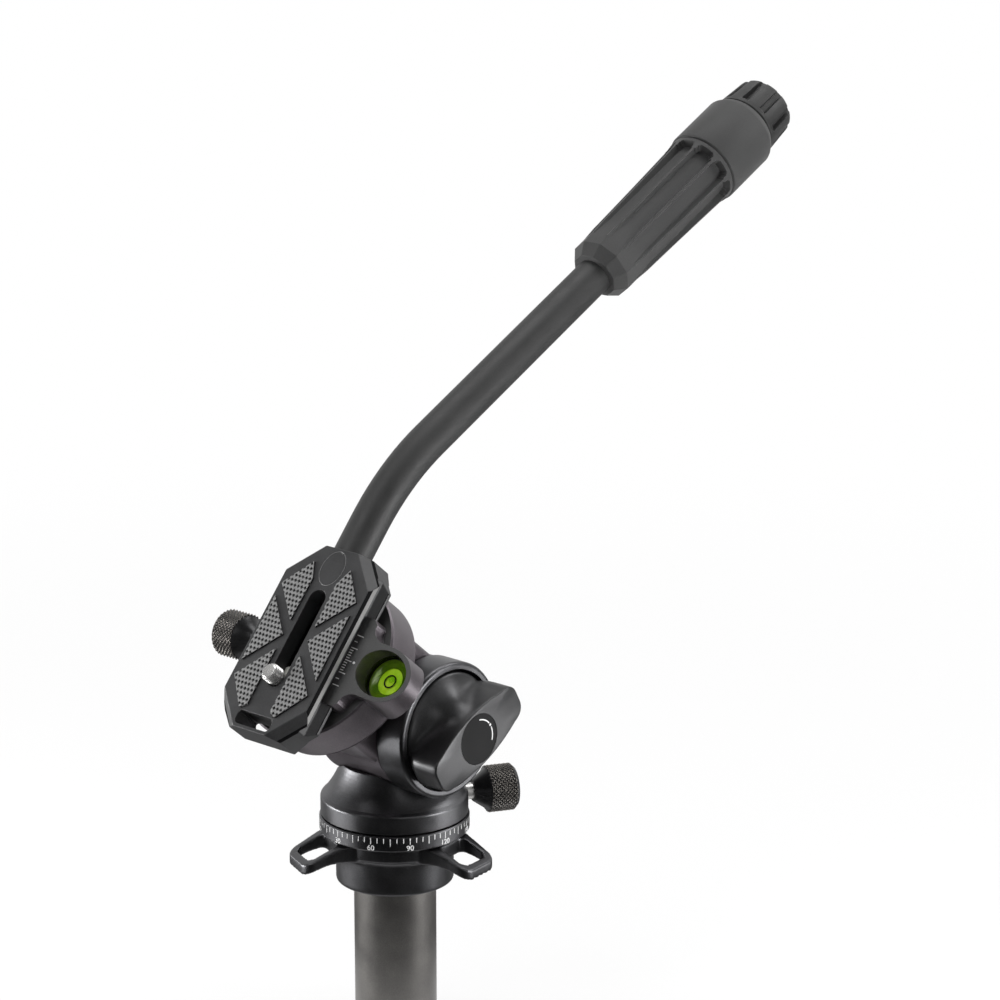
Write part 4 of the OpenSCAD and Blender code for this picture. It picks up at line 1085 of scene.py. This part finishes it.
def makeLevel(spec):
    window, radius, floor, height = values(spec, "window radius floor floorHeight")

    def put(piece, name, finish, nodes=(), smooth=40):
        settle(piece, name, inClamp @ shift(spec["x"], 0, 0), finish, "tilt", nodes, smooth)
    wall = radius - spec["wall"]
    base = [(wall, spec["bottom"]), (wall, height - spec["floorDrop"]), (floor, height)]
    put(turned(base, spec["sides"]), "levelFluid", "limeSpirit", ["level_vial"], 20)
    edge, rimTop = spec["rimEdge"], window - spec["rimGap"]
    footLow, footIn, footHigh = spec["rimFoot"]
    rim = turned([(floor, height + footLow), (radius, window - edge), (radius, rimTop),
                  (radius - edge, rimTop), (floor - footIn, height + footHigh)], spec["sides"])
    openEnds(rim)
    put(rim, "levelRim", "limeAcrylic")
    lens = [(spec["lens"], window - spec["lensThick"]), (spec["lens"], window - spec["lensEdge"]),
            (spec["lensFlat"], window)]
    put(turned(lens, spec["sides"]), "levelWindow", "clearAcrylic", ["level_lens"])
    torus(spec["ring"], spec["line"], 64, 10)
    put(stretch((1, 1, spec["ringFlat"]), (0, 0, height + spec["ringLift"])), "levelRing", "blackDialFilm",
        smooth=60)
    clearSelection()
    bpy.ops.mesh.primitive_uv_sphere_add(segments=32, ring_count=16, radius=spec["bubble"],
                                         location=(0, 0, 0))
    bubble = stretch((1, 1, spec["bubbleFlat"]), (*spec["bubbleAt"], height + spec["bubbleLift"]))
    put(bubble, "levelBubble", "clearAcrylic", ["level_bubble"], 60)
    # a thin olive sheet lines the recess wall, dark as painted shade
    outer, top, low = spec["recess"], spec["recessTop"], window - spec["recessDrop"]
    inner = outer - spec["recessWall"]
    recess = turned([(outer, low), (outer, top), (inner, top), (inner, low)], spec["sides"])
    openEnds(recess)
    selectAll()
    bpy.ops.mesh.remove_doubles(threshold=0.001)
    outwards()
    put(recess, "levelRecessWall", "oliveAcrylicPaintedShade")


makeLevel(levelSpec)
print("level filled")

# floor, light and camera: a white backdrop behind the object, a dim room on the camera's side
stageSpec = {"floorSize": 8.0, "floorDrop": 0.0005, "floorTone": "#f4f4f4", "floorClear": 0.88,
             "roomLevel": 0.20, "backdropTowards": (-0.65, 0.71, 0.10), "mirrorDark": 0.02,
             "mirrorBright": 0.85, "floorBack": 0.45, "floorUnder": 0.9}
white = (1, 1, 1, 1)


def soften(tree, source, start, end, low, high):
    return span(tree, source, start, end, low, high, "SMOOTHSTEP")


def backdropDepth(tree, place):
    # how far a place or a direction lies towards the backdrop
    settings = {"operation": "DOT_PRODUCT", 1: stageSpec["backdropTowards"]}
    return addNode(tree, "VectorMath", settings, {0: place}, "Value")


def ray(tree, kind):
    return addNode(tree, "LightPath", out="Is " + kind + " Ray")


def seenStraight(tree):
    return combine(tree, "MAXIMUM", ray(tree, "Camera"), ray(tree, "Transmission"))


def makeFloorPaper(spec):
    # pale paper that takes a soft shadow near the object and lets the white backdrop show through
    material, tree = newTree("paleFloorPaper")
    place = objectPlace(tree)
    away = addNode(tree, "VectorMath", {"operation": "LENGTH"}, {0: place}, "Value")
    fade = soften(tree, away, 0.15, 0.8, spec["floorClear"], 1.0)
    share = combine(tree, "MULTIPLY", seenStraight(tree), fade)
    paper = addNode(tree, "BsdfDiffuse", {"Color": toLinear(spec["floorTone"])})
    clear = addNode(tree, "BsdfTransparent", {"Color": white})
    surface = addNode(tree, "MixShader", {}, {0: share, 1: paper, 2: clear})
    # what the metal mirrors: a bright back, a dark front and a bright patch right under the object
    back = soften(tree, backdropDepth(tree, place), -0.25, 0.55, spec["mirrorDark"], spec["floorBack"])
    under = soften(tree, away, 0.10, 0.03, 0.0, spec["floorUnder"])
    sheen = addNode(tree, "Emission", {"Color": white}, {"Strength": combine(tree, "MAXIMUM", back, under)})
    showOn(tree, addNode(tree, "MixShader", {}, {0: ray(tree, "Glossy"), 1: surface, 2: sheen}))
    return material


clearSelection()
bpy.ops.mesh.primitive_plane_add(size=stageSpec["floorSize"], location=(0, 0, -stageSpec["floorDrop"]))
floor = bpy.context.object
floor.name = "studioFloor"
floor.data.materials.append(makeFloorPaper(stageSpec))

world = bpy.data.worlds.new("studioWorld")
bpy.context.scene.world = world
world.use_nodes = True
sky = world.node_tree
sky.nodes.clear()
heading = addNode(sky, "TexCoord", out="Generated")  # for a world, the direction looked in
mirror = soften(sky, backdropDepth(sky, heading), -0.2, 0.75, *values(stageSpec, "mirrorDark mirrorBright"))
glow = addNode(sky, "Mix", {2: stageSpec["roomLevel"]}, {0: ray(sky, "Glossy"), 3: mirror})
glow = combine(sky, "MAXIMUM", glow, seenStraight(sky))
addNode(sky, "OutputWorld", {}, {"Surface": addNode(sky, "Background", {"Color": white}, {"Strength": glow})})

target = Vector((0.0134, 0.0371, 0.17375))  # the middle of the view


def aim(name, data, spot):
    # a lamp or the camera, looking at the middle of the view
    holder = bpy.data.objects.new(name, data)
    bpy.context.scene.collection.objects.link(holder)
    holder.location = spot
    holder.rotation_euler = (target - Vector(spot)).to_track_quat("-Z", "Y").to_euler()
    return holder


softboxes = [
    # name, place, width, height, power
    ("softboxLeft", (-0.34, -0.26, 0.08), 0.26, 0.12, 1.9),
    ("cardLeft", (-0.13, -0.15, 0.022), 0.16, 0.05, 0.07),
    ("softboxRight", (0.45, 0.18, 0.12), 0.22, 0.24, 1.8),
    ("cardRight", (0.18, 0.15, 0.022), 0.16, 0.05, 0.12),
    ("softboxNear", (0.80, -0.41, 0.55), 0.34, 0.34, 0.55),
    ("softboxBack", (0.57, 0.82, 0.85), 0.4, 0.4, 4.0),
    ("softboxFill", (-0.16, -0.80, 1.15), 0.6, 0.6, 6.0),
    ("softboxTop", (-0.10, 0.35, 1.25), 0.8, 0.6, 5.5),
]
for name, spot, width, height, power in softboxes:
    lamp = bpy.data.lights.new(name, "AREA")
    lamp.shape = "RECTANGLE"
    lamp.size = width
    lamp.size_y = height
    lamp.energy = power
    aim(name, lamp, spot).visible_camera = False

viewSpec = {"place": (0.7638, -0.7811, 0.4730), "lens": 125.9, "sensor": 36.0, "clipStart": 0.05}
lens = bpy.data.cameras.new("photoCamera")
lens.lens = viewSpec["lens"]
lens.sensor_width = viewSpec["sensor"]
lens.sensor_fit = "HORIZONTAL"
lens.clip_start = viewSpec["clipStart"]
bpy.context.scene.camera = aim("photoCamera", lens, viewSpec["place"])
bpy.context.scene.view_settings.view_transform = "Standard"
print("stage set")
